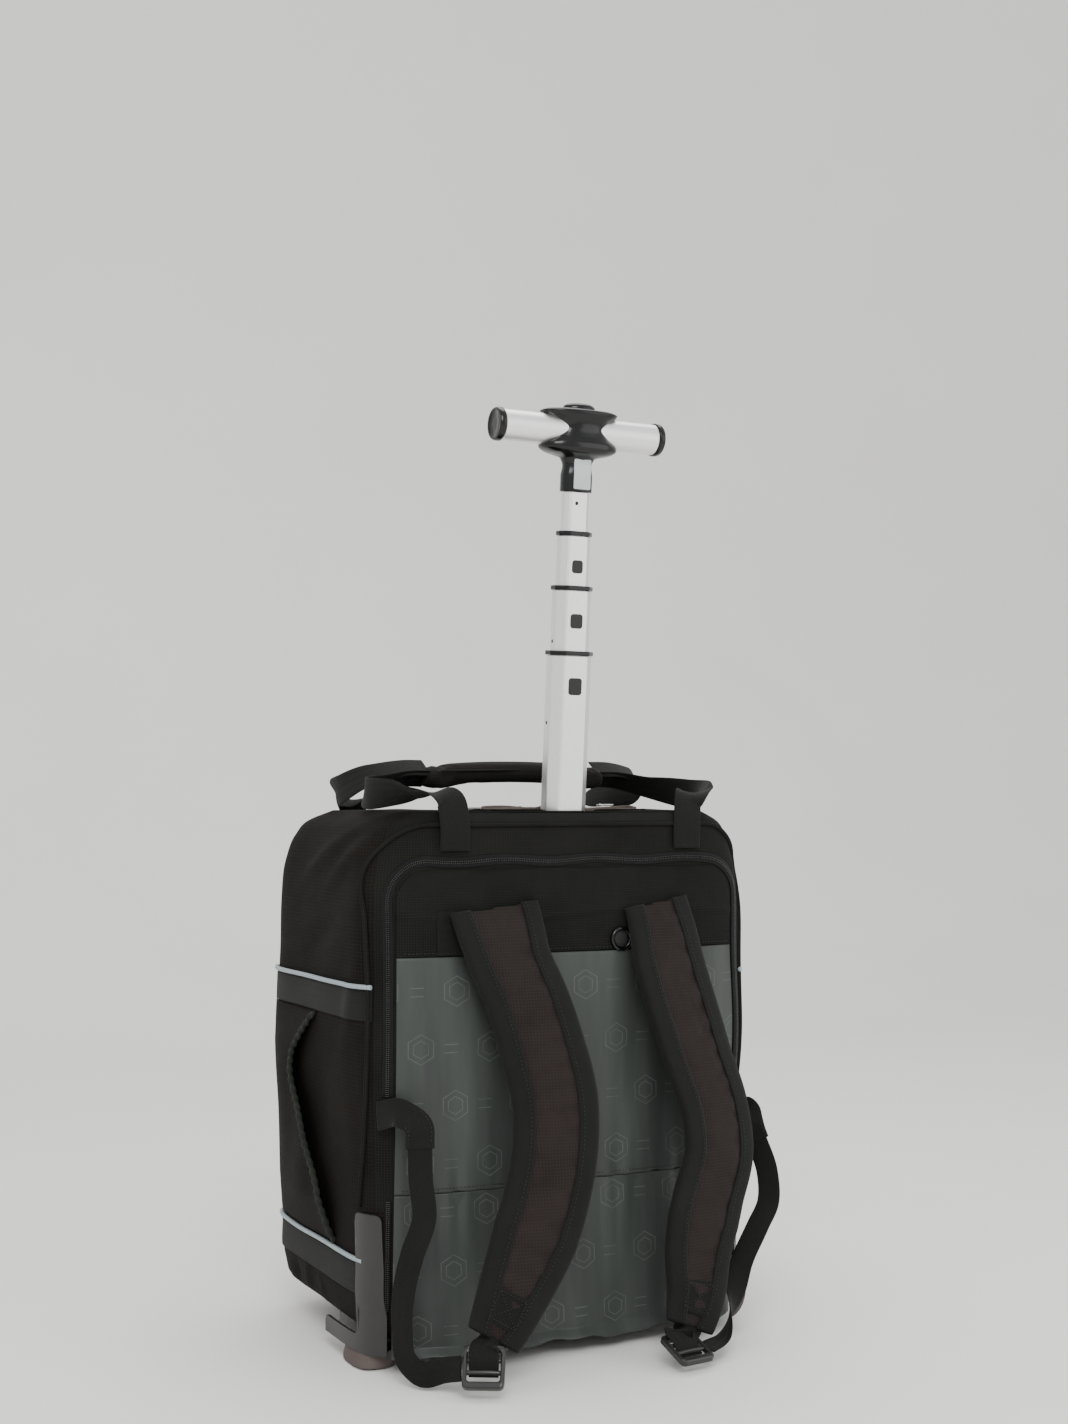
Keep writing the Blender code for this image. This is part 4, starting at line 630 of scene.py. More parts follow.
z = np.linspace(YOKE_FOOT, YOKE_TOP, 46)[:, None]
bend = np.clip((z - (YOKE_TOP - YOKE_CORNER)) / YOKE_CORNER, 0, 1)
half = PANEL_HALF - YOKE_CORNER * (1 - np.sqrt(np.clip(1 - bend**2, 0, 1)))
x = half / PANEL_HALF * spread(PANEL_HALF, 120)[None]
crease = 1.3 * MM * np.exp(-((z - 0.377 - 0.004 * np.sin(x * 23)) / 0.0035) ** 2)
yoke_grid = on_back(x, np.broadcast_to(z, x.shape), 0.3 * MM + crease)
yoke = placed(surface("yoke_cloth", yoke_grid, yoke_ripstop, wall=1.2 * MM), "bag", ["yoke"])

x, z = np.meshgrid(spread(PANEL_HALF, 170), np.linspace(PANEL_FOOT, YOKE_FOOT - 0.4 * MM, 90))
waves = 0.5 * MM * np.sin(x * 61 + 0.8 * np.sin(z * 30))
rise = 1.5 * MM + puckers(x, z, PANEL_FOOT, 0.75 * MM, 0.028) + waves
rise *= np.clip(1.02 - (np.abs(x) / PANEL_HALF) ** 8, 0.15, 1)
panel = surface("satin_panel", on_back(x, z, rise), satin, wall=1.0 * MM)
placed(panel, "bag", ["back_panel"])
noted(yoke)
noted(panel)

# %% [markdown]
# ## The wheel flap
#
# Below the panel hangs a loose flap that covers the wheels. It is gathered into the seam above, swells
# into three lobes and curls up where its hem meets the floor. The lobes are a cosine across the width,
# and the curl bends the last centimetre and a half round a small circle.

# %% Wheel flap
FLAP_FOOT, WALL_FOOT = 0.0095, 0.0487  # where the hem hangs, and where the body's wall turns under
share = np.linspace(0, 1, 110)[:, None]
x = np.broadcast_to(spread(PANEL_HALF, 190)[None], (110, 190))
z = FLAP_FOOT + (PANEL_FOOT - 0.5 * MM - FLAP_FOOT) * (1 - share)
stand = 0.0095 * np.sin(math.pi / 2 * share)
lobe = 0.0036 * np.cos(3 * math.pi * x / PANEL_HALF) * share**1.6
drape = 1.5 * MM * np.sin(x * 118 + 2.0 * share + 1.2 * np.sin(x * 31)) * share * (1 - 0.4 * share)
curl = np.clip((share - 0.90) / 0.10, 0, 1)
hem = 0.0035 * (np.cos(3 * math.pi * x / PANEL_HALF + 0.6) + 0.5 * np.sin(9 * math.pi * x / PANEL_HALF))
base = on_back(x, np.broadcast_to(np.maximum(z, WALL_FOOT), x.shape), 0.7 * MM)
out = stand + lobe + drape + puckers(x, z, PANEL_FOOT, 0.9 * MM, 0.03) + 0.0065 * np.sin(math.pi / 2 * curl)
out = np.maximum(out, 0.4 * MM)
flap_grid = base.copy()
flap_grid[..., 1] -= out * np.clip(1.04 - (np.abs(x) / PANEL_HALF) ** 14, 0.04, 1)
flap_grid[..., 2] = z + curl * (hem * 0.6 + 0.0035 * curl) - 0.002 * (1 - curl) * share
flap_grid[..., 2] = np.maximum(flap_grid[..., 2], 0.0035)
flap = surface("wheel_flap_cloth", flap_grid[::-1], satin, wall=1.0 * MM)
placed(flap, "bag", ["wheel_flap"])
noted(flap)

# %% [markdown]
# ## Bands, pipings and pockets on the sides
#
# Two bands of webbing run round each side, each with a reflective piping along its upper edge. Between
# them is a side pocket, closed on three sides and standing open at its rear edge, which is bound with a
# twisted braid. The piping is a round strand, so it is a small circle carried along a path.

# %% Strands
def directions(line, across):
    """Unit width and up directions along a line, from rough width directions."""
    along = unit(np.gradient(line, axis=0))
    width = unit(across - (across * along).sum(1)[:, None] * along)
    return width, np.cross(along, width)


def resampled(points, count):
    """Points evenly spread along a smooth cubic through the given ones."""
    points = np.asarray(points, float)
    run = run_along(points)
    return smooth(np.linspace(0, run[-1], count), run, points)


def carried(line, w, u, across, height):
    """Sections carried along a line: its points moved by across along w and by height along u."""
    return line[:, None] + w[:, None] * across[..., None] + u[:, None] * height[..., None]


def strand(name, line, radius, material, across=(0.0, 0.0, 1.0), sides=10, twist=None):
    """A round strand: a circle carried along a line, drawn in at its ends; twist gives its radius as a
    function of angle and of the length run through."""
    line = np.asarray(line, float)
    w, u = directions(line, np.broadcast_to(np.asarray(across, float), line.shape))
    angle = np.linspace(0, math.tau, sides, endpoint=False)[None]
    r = radius * (twist(angle, run_along(line)[:, None]) if twist else np.ones((len(line), sides)))
    r[[0, -1]] *= 0.6
    grid = carried(line, w, u, r * np.cos(angle), r * np.sin(angle))
    return surface(name, grid, material, wrap=True, caps="az")


BAND_HEIGHT, BAND_FRONT = 0.026, 0.108
for label, side in SIDES:
    for level, rear, top in (("upper", -0.116, 0.316), ("lower", -0.102, 0.087)):
        y = rear + (BAND_FRONT - rear) * (1 + np.sin(np.linspace(-math.pi / 2, math.pi / 2, 90))) / 2
        y = y if side > 0 else y[::-1]
        z = np.linspace(top - BAND_HEIGHT, top, 12)[:, None]
        grid = on_side(side, np.broadcast_to(y, (12, 90)), np.broadcast_to(z, (12, 90)), 0.3 * MM)
        name = level + "_" + label
        band = surface("webbing_band_" + name, grid.transpose(1, 0, 2)[::-1], webbing, wall=1.3 * MM)
        placed(band, "bag", ["band_" + name])
        line = on_side(side, y, np.full(90, top + 0.0025), 2.2 * MM)
        tube = strand("reflective_piping_" + name, line, 2.1 * MM, piping, sides=14)
        placed(tube, "bag", ["piping_" + name])
print("bands and pipings: 8")

# %% Side pockets and front pocket
POCKET_FOOT, POCKET_TOP, BRAID_TURN = 0.0935, 0.2885, 0.009
# share of the pocket's height, free rear edge from the body's middle
POCKET_EDGE = np.array([
    (0, -0.044), (0.17, -0.036), (0.45, 0.002), (0.72, 0.030), (0.90, 0.008), (1, -0.010)])
for label, side in SIDES:
    share = np.linspace(0, 1, 64)[:, None]
    edge = smooth(share[:, 0], POCKET_EDGE[:, 0], POCKET_EDGE[:, 1])[:, None]
    across = np.sin(np.linspace(0, math.pi / 2, 72))[None]
    y = edge + (BAND_FRONT - edge) * across
    z = np.broadcast_to(POCKET_FOOT + (POCKET_TOP - POCKET_FOOT) * share, y.shape)
    swell = 0.012 * np.minimum(1, 5.5 * np.minimum(share, 1 - share)) ** 0.7
    pleat = 1.1 * MM * np.sin(y * 95 + 3 * share) * (1 - across) * np.sin(math.pi * share)
    grid = on_side(side, y, z, 0.5 * MM + swell * (1 - across**2) + pleat)[:, ::side]
    pocket = surface("side_pocket_cloth_" + label, grid, body_ripstop, wall=1.0 * MM)
    placed(pocket, "bag", ["side_pocket_" + label])
    noted(pocket)
    free = resampled(grid[:, 0 if side > 0 else -1], 240)
    braid = strand("pocket_braid_" + label, free, 2.3 * MM, braid_cloth, across=(1.0, 0.0, 0.0), sides=14,
                   twist=lambda angle, run: 1 + 0.26 * np.cos(2 * angle + math.tau * run / BRAID_TURN))
    placed(braid, "bag")

x, share = np.meshgrid(np.linspace(1, -1, 90), np.linspace(0, 1, 90))
swell = 0.0192 * np.sqrt((1 - x**6) * (1 - (2 * share - 1) ** 6)) * (0.97 + 0.03 * np.sin(9 * x + 5 * share))
grid = on_front(x * 0.125, 0.060 + 0.270 * share, 0.5 * MM + swell)
pocket = surface("front_pocket_cloth", grid, body_ripstop, wall=1.0 * MM)
placed(pocket, "bag", ["front_pocket"])
noted(pocket)

# %% [markdown]
# ## Zips and stitches
#
# A coil zip is two nylon spirals that mesh along the middle of a woven tape. Real coils have a turn each
# 1.2 mm; here each turn is one small spindle of eight faces, two rows of them, which is as fine as the
# render shows. The same spindle, longer and thinner, is one stitch of a seam.

# %% Spindles, zips and seams
SPINDLE = np.array([(1, 0, 0), (-1, 0, 0), (0, 1, 0), (0, -1, 0), (0, 0, 1), (0, 0, -1)]) / 2
SPINDLE_FACES = np.array([
    (0, 2, 4), (2, 1, 4), (1, 3, 4), (3, 0, 4), (2, 0, 5), (1, 2, 5), (3, 1, 5), (0, 3, 5)])


def spindles(name, middles, along, up, size, material):
    """Many small spindles: at each middle six corners, half of size (length, width, height) out along the
    three directions."""
    axes = np.stack([along, unit(np.cross(up, along)), up], axis=1) * np.asarray(size)[None, :, None]
    points = middles[:, None] + np.einsum("ck,nkd->ncd", SPINDLE, axes)
    faces = (SPINDLE_FACES[None] + 6 * np.arange(len(middles))[:, None, None]).reshape(-1, 3)
    return meshed(name, points, faces.tolist(), material)


def evenly(line, up, pitch):
    """Points each pitch along a line, with the directions along it and up from it."""
    run = run_along(line)
    at = np.arange(pitch / 2, run[-1], pitch)
    points, ups = (np.stack([np.interp(at, run, k[:, c]) for c in range(3)], axis=1) for k in (line, up))
    along = unit(np.gradient(points, axis=0))
    return points, along, unit(ups - (ups * along).sum(1)[:, None] * along)


def seam(name, line, up, pitch=3.4 * MM, stitch=2.5 * MM):
    """A row of stitches along a line, each a thin spindle lying on the cloth."""
    points, along, ups = evenly(line, up, pitch)
    stitches = spindles(name, points + ups * 0.15 * MM, along, ups, (stitch, 0.9 * MM, 0.8 * MM), thread)
    placed(stitches, "bag")


def zip_along(name, line, up, width, coil=dark_coil, replaces=()):
    """A zip: a tape that is a flat strip a little crowned, and two rows of coil along its middle."""
    across, normal = directions(line, np.cross(up, np.gradient(line, axis=0)))
    u = np.linspace(-1, 1, 9)[None]
    strip = carried(line, across, normal, u * width / 2, (1 - u**2) * 0.4 * MM)
    placed(surface(name + "_tape", strip, tape, wall=0.7 * MM), "bag", replaces)
    points, along, ups = evenly(line, normal, 1.7 * MM)
    side = np.cross(ups, along)
    middles = np.concatenate([points + side * k * 0.85 * MM for k in (-1, 1)])
    side, ups = np.tile(side, (2, 1)), np.tile(ups, (2, 1))
    turns = spindles(name + "_coil", middles + ups * 1.1 * MM, side, ups,
                     (1.7 * MM, 1.0 * MM, 1.2 * MM), coil)
    placed(turns, "bag")


def line_on_back(x, z, lift, folded=True):
    """A line on the back, and the directions up from it."""
    line = on_back(x, z, lift, folded)
    return line, on_back(x, z, lift + 2 * MM, folded) - line


def arch(half, top, foot, corner, steps=14):
    """An arch in width and height: up the left, round both corners and down the right."""
    t = np.linspace(0, math.pi / 2, steps)
    rise = np.stack([np.full(40, -half), np.linspace(foot, top - corner, 40)], axis=1)
    bend = np.stack([-half + corner * (1 - np.cos(t)), top - corner * (1 - np.sin(t))], axis=1)[1:]
    flat = np.stack([np.linspace(-half + corner, half - corner, 60)[1:-1], np.full(58, top)], axis=1)
    left = np.concatenate([rise, bend])
    return np.concatenate([left, flat, left[::-1] * (-1, 1)])


path = arch(ZIP_HALF, ZIP_TOP, ZIP_FOOT, ZIP_CORNER)
path[:, 1] += 0.0012 * np.sin(path[:, 0] * 70) * (path[:, 1] > 0.40)
line, up = line_on_back(path[:, 0], path[:, 1], 0.9 * MM)
zip_along("back_zip", line, up, 8.6 * MM, replaces=["zip_back"])
print("back zip:", round(float(run_along(line)[-1]), 3), "m")

# %% [markdown]
# ## Shoulder straps
#
# A strap is a foam core in ripstop, bound on both edges. Its middle line is a short table of heights,
# sideways shifts and distances from the back. The core's section is a flat superellipse; a cloth
# simulation then blows it up a little between the two held edges, which pulls it into the small
# creases that real padded straps have. The binding is a C section carried along each edge afterwards.

# %% Strap shape
STRAP_HALF, STRAP_THICK, HARNESS_X, STRAP_CROWN, STRAP_STEPS = 0.037, 0.010, 0.074, 1.3 * MM, 190
# height, sideways shift, stand-off from the back and turn in degrees
STRAPS = {
    "left": np.array([
        (0.384, -0.006, 0.0053, 0), (0.361, -0.003, 0.0150, -2), (0.342, 0.001, 0.0200, -5),
        (0.308, 0.013, 0.0290, -10), (0.267, 0.024, 0.0370, -14), (0.224, 0.032, 0.0440, -16),
        (0.184, 0.029, 0.0500, -14), (0.144, 0.019, 0.0530, -12), (0.112, 0.006, 0.0550, -12),
        (0.080, -0.012, 0.0600, -12), (0.058, -0.026, 0.0650, -12), (0.0414, -0.0372, 0.0683, -12)]),
    "right": np.array([
        (0.384, 0.002, 0.0053, 0), (0.360, 0.006, 0.0130, 2), (0.334, 0.010, 0.0200, 4),
        (0.299, 0.017, 0.0290, 6), (0.247, 0.031, 0.0370, 8), (0.203, 0.043, 0.0440, 8),
        (0.169, 0.043, 0.0500, 6), (0.128, 0.029, 0.0530, 4), (0.087, 0.017, 0.0560, 2),
        (0.055, 0.011, 0.0620, 0), (0.0280, -0.001, 0.0702, 0)]),
}


def soft_square(angle, p, q):
    """A superellipse in polar steps: the cosine and sine of an angle, their sizes raised to powers p, q."""
    c, s = np.cos(angle), np.sin(angle)
    return np.sign(c) * np.abs(c) ** p, np.sign(s) * np.abs(s) ** q


def strap_line(side, rows):
    """A strap's middle line, width and up directions, half width, half thickness and share of length."""
    middle = np.stack([side * HARNESS_X + rows[:, 1], BACK_Y - rows[:, 2], rows[:, 0]], axis=1)
    line = resampled(middle, STRAP_STEPS)
    share = np.linspace(0, 1, STRAP_STEPS)
    angle = np.radians(np.interp(share, np.linspace(0, 1, len(rows)), rows[:, 3]))
    w, u = directions(line, np.stack([np.cos(angle), np.sin(angle), 0 * angle], axis=1))
    slim = np.minimum(1.0, 0.45 + 0.55 * np.minimum(share, 1 - share) / 0.08)
    taper = 0.62 + 0.38 * np.minimum(1.0, (1 - share) / 0.24) ** 0.8
    near_top = np.exp(-(share / 0.10) ** 2)
    line = line + w * (0.004 * (side > 0) * near_top)[:, None]
    half = STRAP_HALF * taper * (1 + (0.15 if side < 0 else -0.10) * near_top)
    return line, w, u, half, STRAP_THICK / 2 * slim, share


STRAP_LINES = {label: strap_line(side, STRAPS[label]) for label, side in SIDES}


def creases(run, across, strong):
    """Creases across a strap: waves whose length drifts, stronger where asked, none at the edges."""
    wave = np.sin(math.tau * run / 0.021 + 2.2 * np.sin(run * 37) + 1.1 * across)
    return (0.35 * MM + 0.9 * MM * strong) * wave * (1 - across**2)


def padded_core(label, crease):
    """A strap's foam core: a flat superellipse section carried down its line, creased on its face."""
    line, w, u, half, thick, share = STRAP_LINES[label]
    run = np.linalg.norm(np.diff(line, axis=0), axis=1).sum() * share[:, None]
    cu, cv = soft_square(np.linspace(0, math.tau, 44, endpoint=False)[None], 0.55, 0.55)
    strong = np.exp(-((share[:, None] - 0.27) / 0.16) ** 2) * crease
    rise = creases(run, cu, strong) * np.clip(cv, 0, 1)
    crown = STRAP_CROWN * (1 - cu**2) * np.clip(cv, 0, 1) * (thick / thick.max())[:, None]
    height = (thick[:, None] - 0.8 * MM) * cv + rise + crown
    grid = carried(line, w, u, (half[:, None] - 1.5 * MM) * cu, height)
    return surface("shoulder_pad_" + label, grid, strap_ripstop, wrap=True, caps="az")


print("strap lengths:", [round(float(run_along(k[0])[-1]), 3) for k in STRAP_LINES.values()])

# %% [markdown]
# Voxel remeshing gives the cloth solver even squares, pressure stands for the foam, and the points under
# the bindings are held. The movement is capped, so that a pad never leaves the room its solid holds.

# %% Cloth simulation of padded pieces
FRAMES = 20
CLOTH_SETTINGS = {"quality": 5, "mass": 0.25, "tension_stiffness": 12, "compression_stiffness": 12,
                  "bending_stiffness": 0.35, "use_pressure": True, "vertex_group_mass": "held"}


def puffed(obj, held, voxel, pressure, grow, cap, material):
    """Blows a closed mesh up as cloth: held marks the points that stay, grow is how much larger its cloth
    is cut, and cap limits how far a point moves. Remeshing loses the UV map, so the piece then takes a
    material on Object coordinates."""
    remesh = obj.modifiers.new("even", "REMESH")
    remesh.mode = "VOXEL"
    remesh.voxel_size = voxel
    applied(obj)
    start = read(obj.data.vertices, "co")
    obj.vertex_groups.new(name="held").add(np.nonzero(held(start))[0].tolist(), 1.0, "REPLACE")
    cloth = obj.modifiers.new("cloth", "CLOTH")
    for key, value in CLOTH_SETTINGS.items():
        setattr(cloth.settings, key, value)
    cloth.settings.uniform_pressure_force = pressure
    cloth.settings.shrink_min = cloth.settings.shrink_max = -grow
    cloth.settings.effector_weights.gravity = 0.0
    cloth.collision_settings.use_collision = False
    cloth.point_cache.frame_start, cloth.point_cache.frame_end = 1, FRAMES
    for step in range(1, FRAMES + 1):
        bpy.context.scene.frame_set(step)
    graph = bpy.context.evaluated_depsgraph_get()
    moved = read(obj.evaluated_get(graph).data.vertices, "co") - start
    far = np.linalg.norm(moved, axis=1)[:, None]
    moved *= np.minimum(1.0, cap / np.maximum(far, 1e-9))
    obj.modifiers.clear()
    bpy.context.scene.frame_set(1)
    obj.data.vertices.foreach_set("co", (start + moved).ravel())
    obj.data.polygons.foreach_set("use_smooth", np.ones(len(obj.data.polygons), bool))
    obj.data.update()
    rounder = obj.modifiers.new("rounder", "SUBSURF")
    rounder.levels = rounder.render_levels = 1
    obj.data.materials.clear()
    obj.data.materials.append(material)
    print(obj.name, "puffed by", round(float(far.max()) / MM, 1), "mm")


def object_weave(name, dark, light, grid):
    """Ripstop for a simulated piece, which has lost its UV map: the squares follow Object coordinates."""
    material, tree, shader = new_material(name, Roughness=0.82, Sheen_Weight=0.03, Specular_IOR_Level=0.16)
    place = add(tree, "TexCoord").outputs["Object"]
    lines = [add(tree, "TexWave", {"Vector": place, "Scale": bands_per(grid)}, bands_direction=axis)
             for axis in "XZ"]
    sharp = [add(tree, "Math", {0: k.outputs["Fac"], 1: 6.0}, operation="POWER").outputs[0] for k in lines]
    both = add(tree, "Math", dict(enumerate(sharp)), operation="MAXIMUM").outputs[0]
    slow = add(tree, "TexNoise", {"Vector": place, "Scale": 24.0, "Detail": 4.0}).outputs["Fac"]
    share = add(tree, "Math", {0: both, 1: 0.7, 2: slow}, operation="MULTIPLY_ADD", use_clamp=True).outputs[0]
    colour = add(tree, "Mix", {0: share, 6: linear(dark), 7: linear(light)}, data_type="RGBA").outputs[2]
    way = add(tree, "Mapping", {"Vector": place, "Scale": (14.0, 30.0, 75.0)}).outputs[0]
    low = add(tree, "TexNoise", {"Vector": way, "Scale": 1.0, "Detail": 3.0, "Distortion": 0.8}).outputs[0]
    folds = add(tree, "Bump", {"Height": low, "Strength": 0.7, "Distance": 1.3 * MM}).outputs["Normal"]
    bump = add(tree, "Bump", {"Height": both, "Strength": 0.35, "Distance": 0.2 * MM, "Normal": folds})
    joined(tree, shader, Base_Color=colour, Normal=bump.outputs["Normal"])
    return material


pad_ripstop = object_weave("ripstop over foam, brown charcoal", "#0e0b0a", "#261f1c", 2.6 * MM)
grip_ripstop = object_weave("ripstop over foam, dark", "#070706", "#181614", 3.0 * MM)

# %% Strap cores and bindings
TURNED_IN, CURLED = 0.0165, 0.22  # how far a binding reaches in, and the share of it round the edge
s = np.linspace(-1, 1, 25)[None]
inward = np.clip(np.abs(s) - CURLED, 0, 1) / (1 - CURLED) * TURNED_IN
round_edge = 0.0018 * (1 - np.cos(np.clip(s / CURLED, -1, 1) * math.pi)) / 2
for label, side in SIDES:
    line, w, u, half, thick, share = STRAP_LINES[label]

    def edges(points, line=line, w=w, half=half, share=share):
        """Whether a point is held: those under the bindings and at the strap's two ends."""
        near = ((points[:, None] - line[None]) ** 2).sum(2).argmin(1)
        across = np.abs(((points - line[near]) * w[near]).sum(1)) / half[near]
        return (across > 0.47) | (share[near] < 0.02) | (share[near] > 0.98)

    core = padded_core(label, 0.9 if side > 0 else 0.45)
    puffed(core, edges, 3.2 * MM, 3.0, 0.035, 1.6 * MM, pad_ripstop)
    placed(core, "bag", ["shoulder_strap_" + label])
    for edge, sign in (("inner", -side), ("outer", side)):
        across = sign * (half[:, None] + 0.2 * MM - inward - round_edge)
        crown = STRAP_CROWN * np.clip(1 - (across / half[:, None]) ** 2, 0, 1) * (s > 0)
        height = np.tanh(s * 4.2) * (thick[:, None] + 0.65 * MM) + crown
        grid = carried(line, w, u, across, height)[:, ::-sign]
        piece = surface("strap_binding_" + edge + "_" + label, grid, binding, wall=0.9 * MM)
        placed(piece, "bag")
        shown = (half - TURNED_IN + 0.0022)[:, None] * sign
        level = thick + STRAP_CROWN * np.clip(1 - (shown[:, 0] / half) ** 2, 0, 1) + 1.7 * MM
        seam("strap_stitches_" + edge + "_" + label, line + w * shown + u * level[:, None], u)
print("straps: 2 cores, 4 bindings")

# %% [markdown]
# Near its lower end each strap carries a square of webbing, sewn round its edge and crosswise, which
# takes the pull of the buckle. The square is a grid in the strap's own width and length.

# %% Sewn squares on the straps
# corners in shares of the square, one row for each line of stitches
SQUARE_LINES = {1: ((-1, 0), (1, 0)), 2: ((1, 0), (1, 1)), 3: ((1, 1), (-1, 1)), 4: ((-1, 1), (-1, 0)),
                5: ((-1, 0), (1, 1)), 7: ((1, 0), (-1, 1))}


def on_strap(label, across, share, lift):
    """Points on a strap's face at widths across and shares of its length, with the up directions."""
    line, w, u, half, thick, steps = STRAP_LINES[label]
    line, w, u = (np.stack([np.interp(share, steps, k[:, c]) for c in range(3)], axis=-1)
                  for k in (line, w, u))
    crown = STRAP_CROWN * (1 - (across / np.interp(share, steps, half)) ** 2)
    height = np.interp(share, steps, thick) + crown + lift
    return line + w * across[..., None] + u * height[..., None], u


for label in STRAPS:
    across, share = np.meshgrid(np.linspace(-0.0135, 0.0135, 16), np.linspace(0.895, 0.972, 22))
    grid, _ = on_strap(label, across, share, 0.5 * MM)
    placed(surface("sewn_square_" + label, grid, webbing, wall=1.4 * MM), "bag")
    for k, ends in SQUARE_LINES.items():
        x, y = np.linspace(*np.array(ends, float), 24).T
        line, up = on_strap(label, x * 0.0118, 0.903 + 0.061 * y, 2.1 * MM)
        seam("square_stitches_%s_%d" % (label, k), line, up, 2.6 * MM, 1.9 * MM)
print("sewn squares:", len(STRAPS))

# %% [markdown]
# ## Loose webbing, hoods and buckles
#
# Below each strap a ladder-lock buckle lies near the floor. Its webbing loops up to the bag's side seam,
# where a folded triangle of cloth, the hood, takes the pull. Webbing is a thin band with rounded edges
# carried along a table of bends, each with a rough direction for its width.

# %% Webbing
def band_along(name, points, across, width, thick, material, count=120):
    """Flat webbing: a rounded flat section carried along a smooth line; also its line and directions."""
    points, across = np.asarray(points, float), np.asarray(across, float)
    line = resampled(points, count)
    w, u = directions(line, smooth(np.linspace(0, 1, count), np.linspace(0, 1, len(points)), across))
    cu, cv = soft_square(np.linspace(0, math.tau, 20, endpoint=False)[None], 0.4, 0.7)
    grid = carried(line, w, u, cu * width / 2, cv * thick / 2)
    return surface(name, grid, material, wrap=True, caps="az"), line, w, u


# share of the half width, stand-off from the back, height, and width direction
WEBS = {
    "left": np.array([
        (-0.824, 0.028, 0.190, 0.9, -0.4, 0.0), (-0.822, 0.029, 0.165, 0.9, -0.4, 0.0),
        (-0.809, 0.030, 0.134, 0.9, -0.4, 0.0), (-0.864, 0.030, 0.106, 0.8, -0.5, 0.0),
        (-0.896, 0.028, 0.078, 0.7, -0.6, 0.0), (-0.900, 0.026, 0.047, 0.6, -0.7, 0.0),
        (-0.885, 0.030, 0.022, 0.5, -0.7, 0.3), (-0.839, 0.040, 0.013, 0.3, -0.3, 0.8),
        (-0.769, 0.052, 0.018, 0.2, 0.0, 1.0), (-0.7245, 0.0675, 0.0225, 0.2, 0.3, 1.0)]),
    "right": np.array([
        (0.948, 0.012, 0.165, 0.6, -0.8, 0.0), (0.955, 0.026, 0.141, 0.6, -0.8, 0.0),
        (0.931, 0.034, 0.115, 0.7, -0.7, 0.0), (0.860, 0.038, 0.097, 0.8, -0.5, 0.2),
        (0.740, 0.045, 0.067, 0.8, -0.2, 0.5), (0.655, 0.056, 0.037, 0.7, 0.5, 0.4),
        (0.560, 0.070, 0.0175, 0.4, 1.0, 0.1), (0.407, 0.086, 0.0130, 0.0, 1.0, 0.1)]),
}
TUCK = 0.005  # how far the webbing runs on inside its hood
for label, side in SIDES:
    rows = WEBS[label]
    points = np.stack([rows[:, 0] * HALF_WIDTH, BACK_Y - rows[:, 1], rows[:, 2]], axis=1)
    rise = points[0] - points[1]
    rise /= np.linalg.norm(rise)
    tucked = np.concatenate([points[:1] + TUCK * rise, points[1:]])
    web = band_along("lower_webbing_" + label, tucked, rows[:, 3:], 0.020, 1.5 * MM, webbing)[0]
    placed(web, "bag", ["strap_web_" + label])
    top = points[0] + 0.8 * MM * rise
    brow = top + 0.016 * rise
    start = on_back(side * 0.92 * HALF_WIDTH, top[2] + 0.022, 4.2 * MM, folded=False)
    cloth = [start, (start + brow) / 2 + (0, -0.003, 0.008), brow, (brow + 2 * top) / 3, top]
    lie = [(0, 0.3, 1), (0.3, 0, 1), (0.7, -0.3, 0.3), rows[0, 3:], rows[0, 3:]]
    hood, *frame_of = band_along("strap_hood_cloth_" + label, cloth, lie, 0.024, 2.8 * MM, webbing, 70)
    placed(hood, "bag", ["strap_hood_" + label])
    line, w, u = (k[40:66] for k in frame_of)
    for end, sign in (("a", -1), ("b", 1)):
        seam("hood_stitches_" + label + "_" + end, line + w * sign * 0.0095 + u * 1.2 * MM, u)
print("webs and hoods: 4")

# %% Buckles
def mapped(points, place, turn):
    """Points turned by tilt (about X) and turn (about Z), in degrees, and moved to a place."""
    a, b = np.radians(turn)
    tilt = np.array([(1, 0, 0), (0, math.cos(a), -math.sin(a)), (0, math.sin(a), math.cos(a))])
    swing = np.array([(math.cos(b), -math.sin(b), 0), (math.sin(b), math.cos(b), 0), (0, 0, 1)])
    return points @ (swing @ tilt).T + np.asarray(place)


def rounded(corners, radius, steps=6):
    """A polygon's outline with each corner eased by a parabola over the radius."""
    corners = np.asarray(corners, float)
    before, after = unit(np.roll(corners, 1, 0) - corners), unit(np.roll(corners, -1, 0) - corners)
    t = np.linspace(0, 1, steps)[None, :, None]
    bend = (1 - t) ** 2 * (corners + before * radius)[:, None] + 2 * t * (1 - t) * corners[:, None]
    return (bend + t**2 * (corners + after * radius)[:, None]).reshape(-1, 2)


def rectangle(width, height):
    """The four corners of a centred rectangle, anticlockwise."""
    return np.array([(1, 1), (-1, 1), (-1, -1), (1, -1)]) * (width / 2, height / 2)


def moulding(name, outer, low, high, material, ease, frame_map, hole=None):
    """A flat moulding between two heights with eased edges, round a hole if one is given: a closed
    section of rings, put in its place by frame_map."""
    rows = []
    for ring, way in ((outer, 1), (hole, -1))[:1 if hole is None else 2]:
        eased = ring * (1 - way * ease / np.abs(ring).max(0))
        steps = ((eased, low), (ring, low + ease), (ring, high - ease), (eased, high))
        rows += [np.concatenate([k, np.full((len(k), 1), z)], axis=1) for k, z in steps[::way]]
    grid = frame_map(np.array(rows + rows[:1] if hole is not None else rows))
    return crisp(surface(name, grid, material, wrap=True, caps="az" if hole is None else ""))


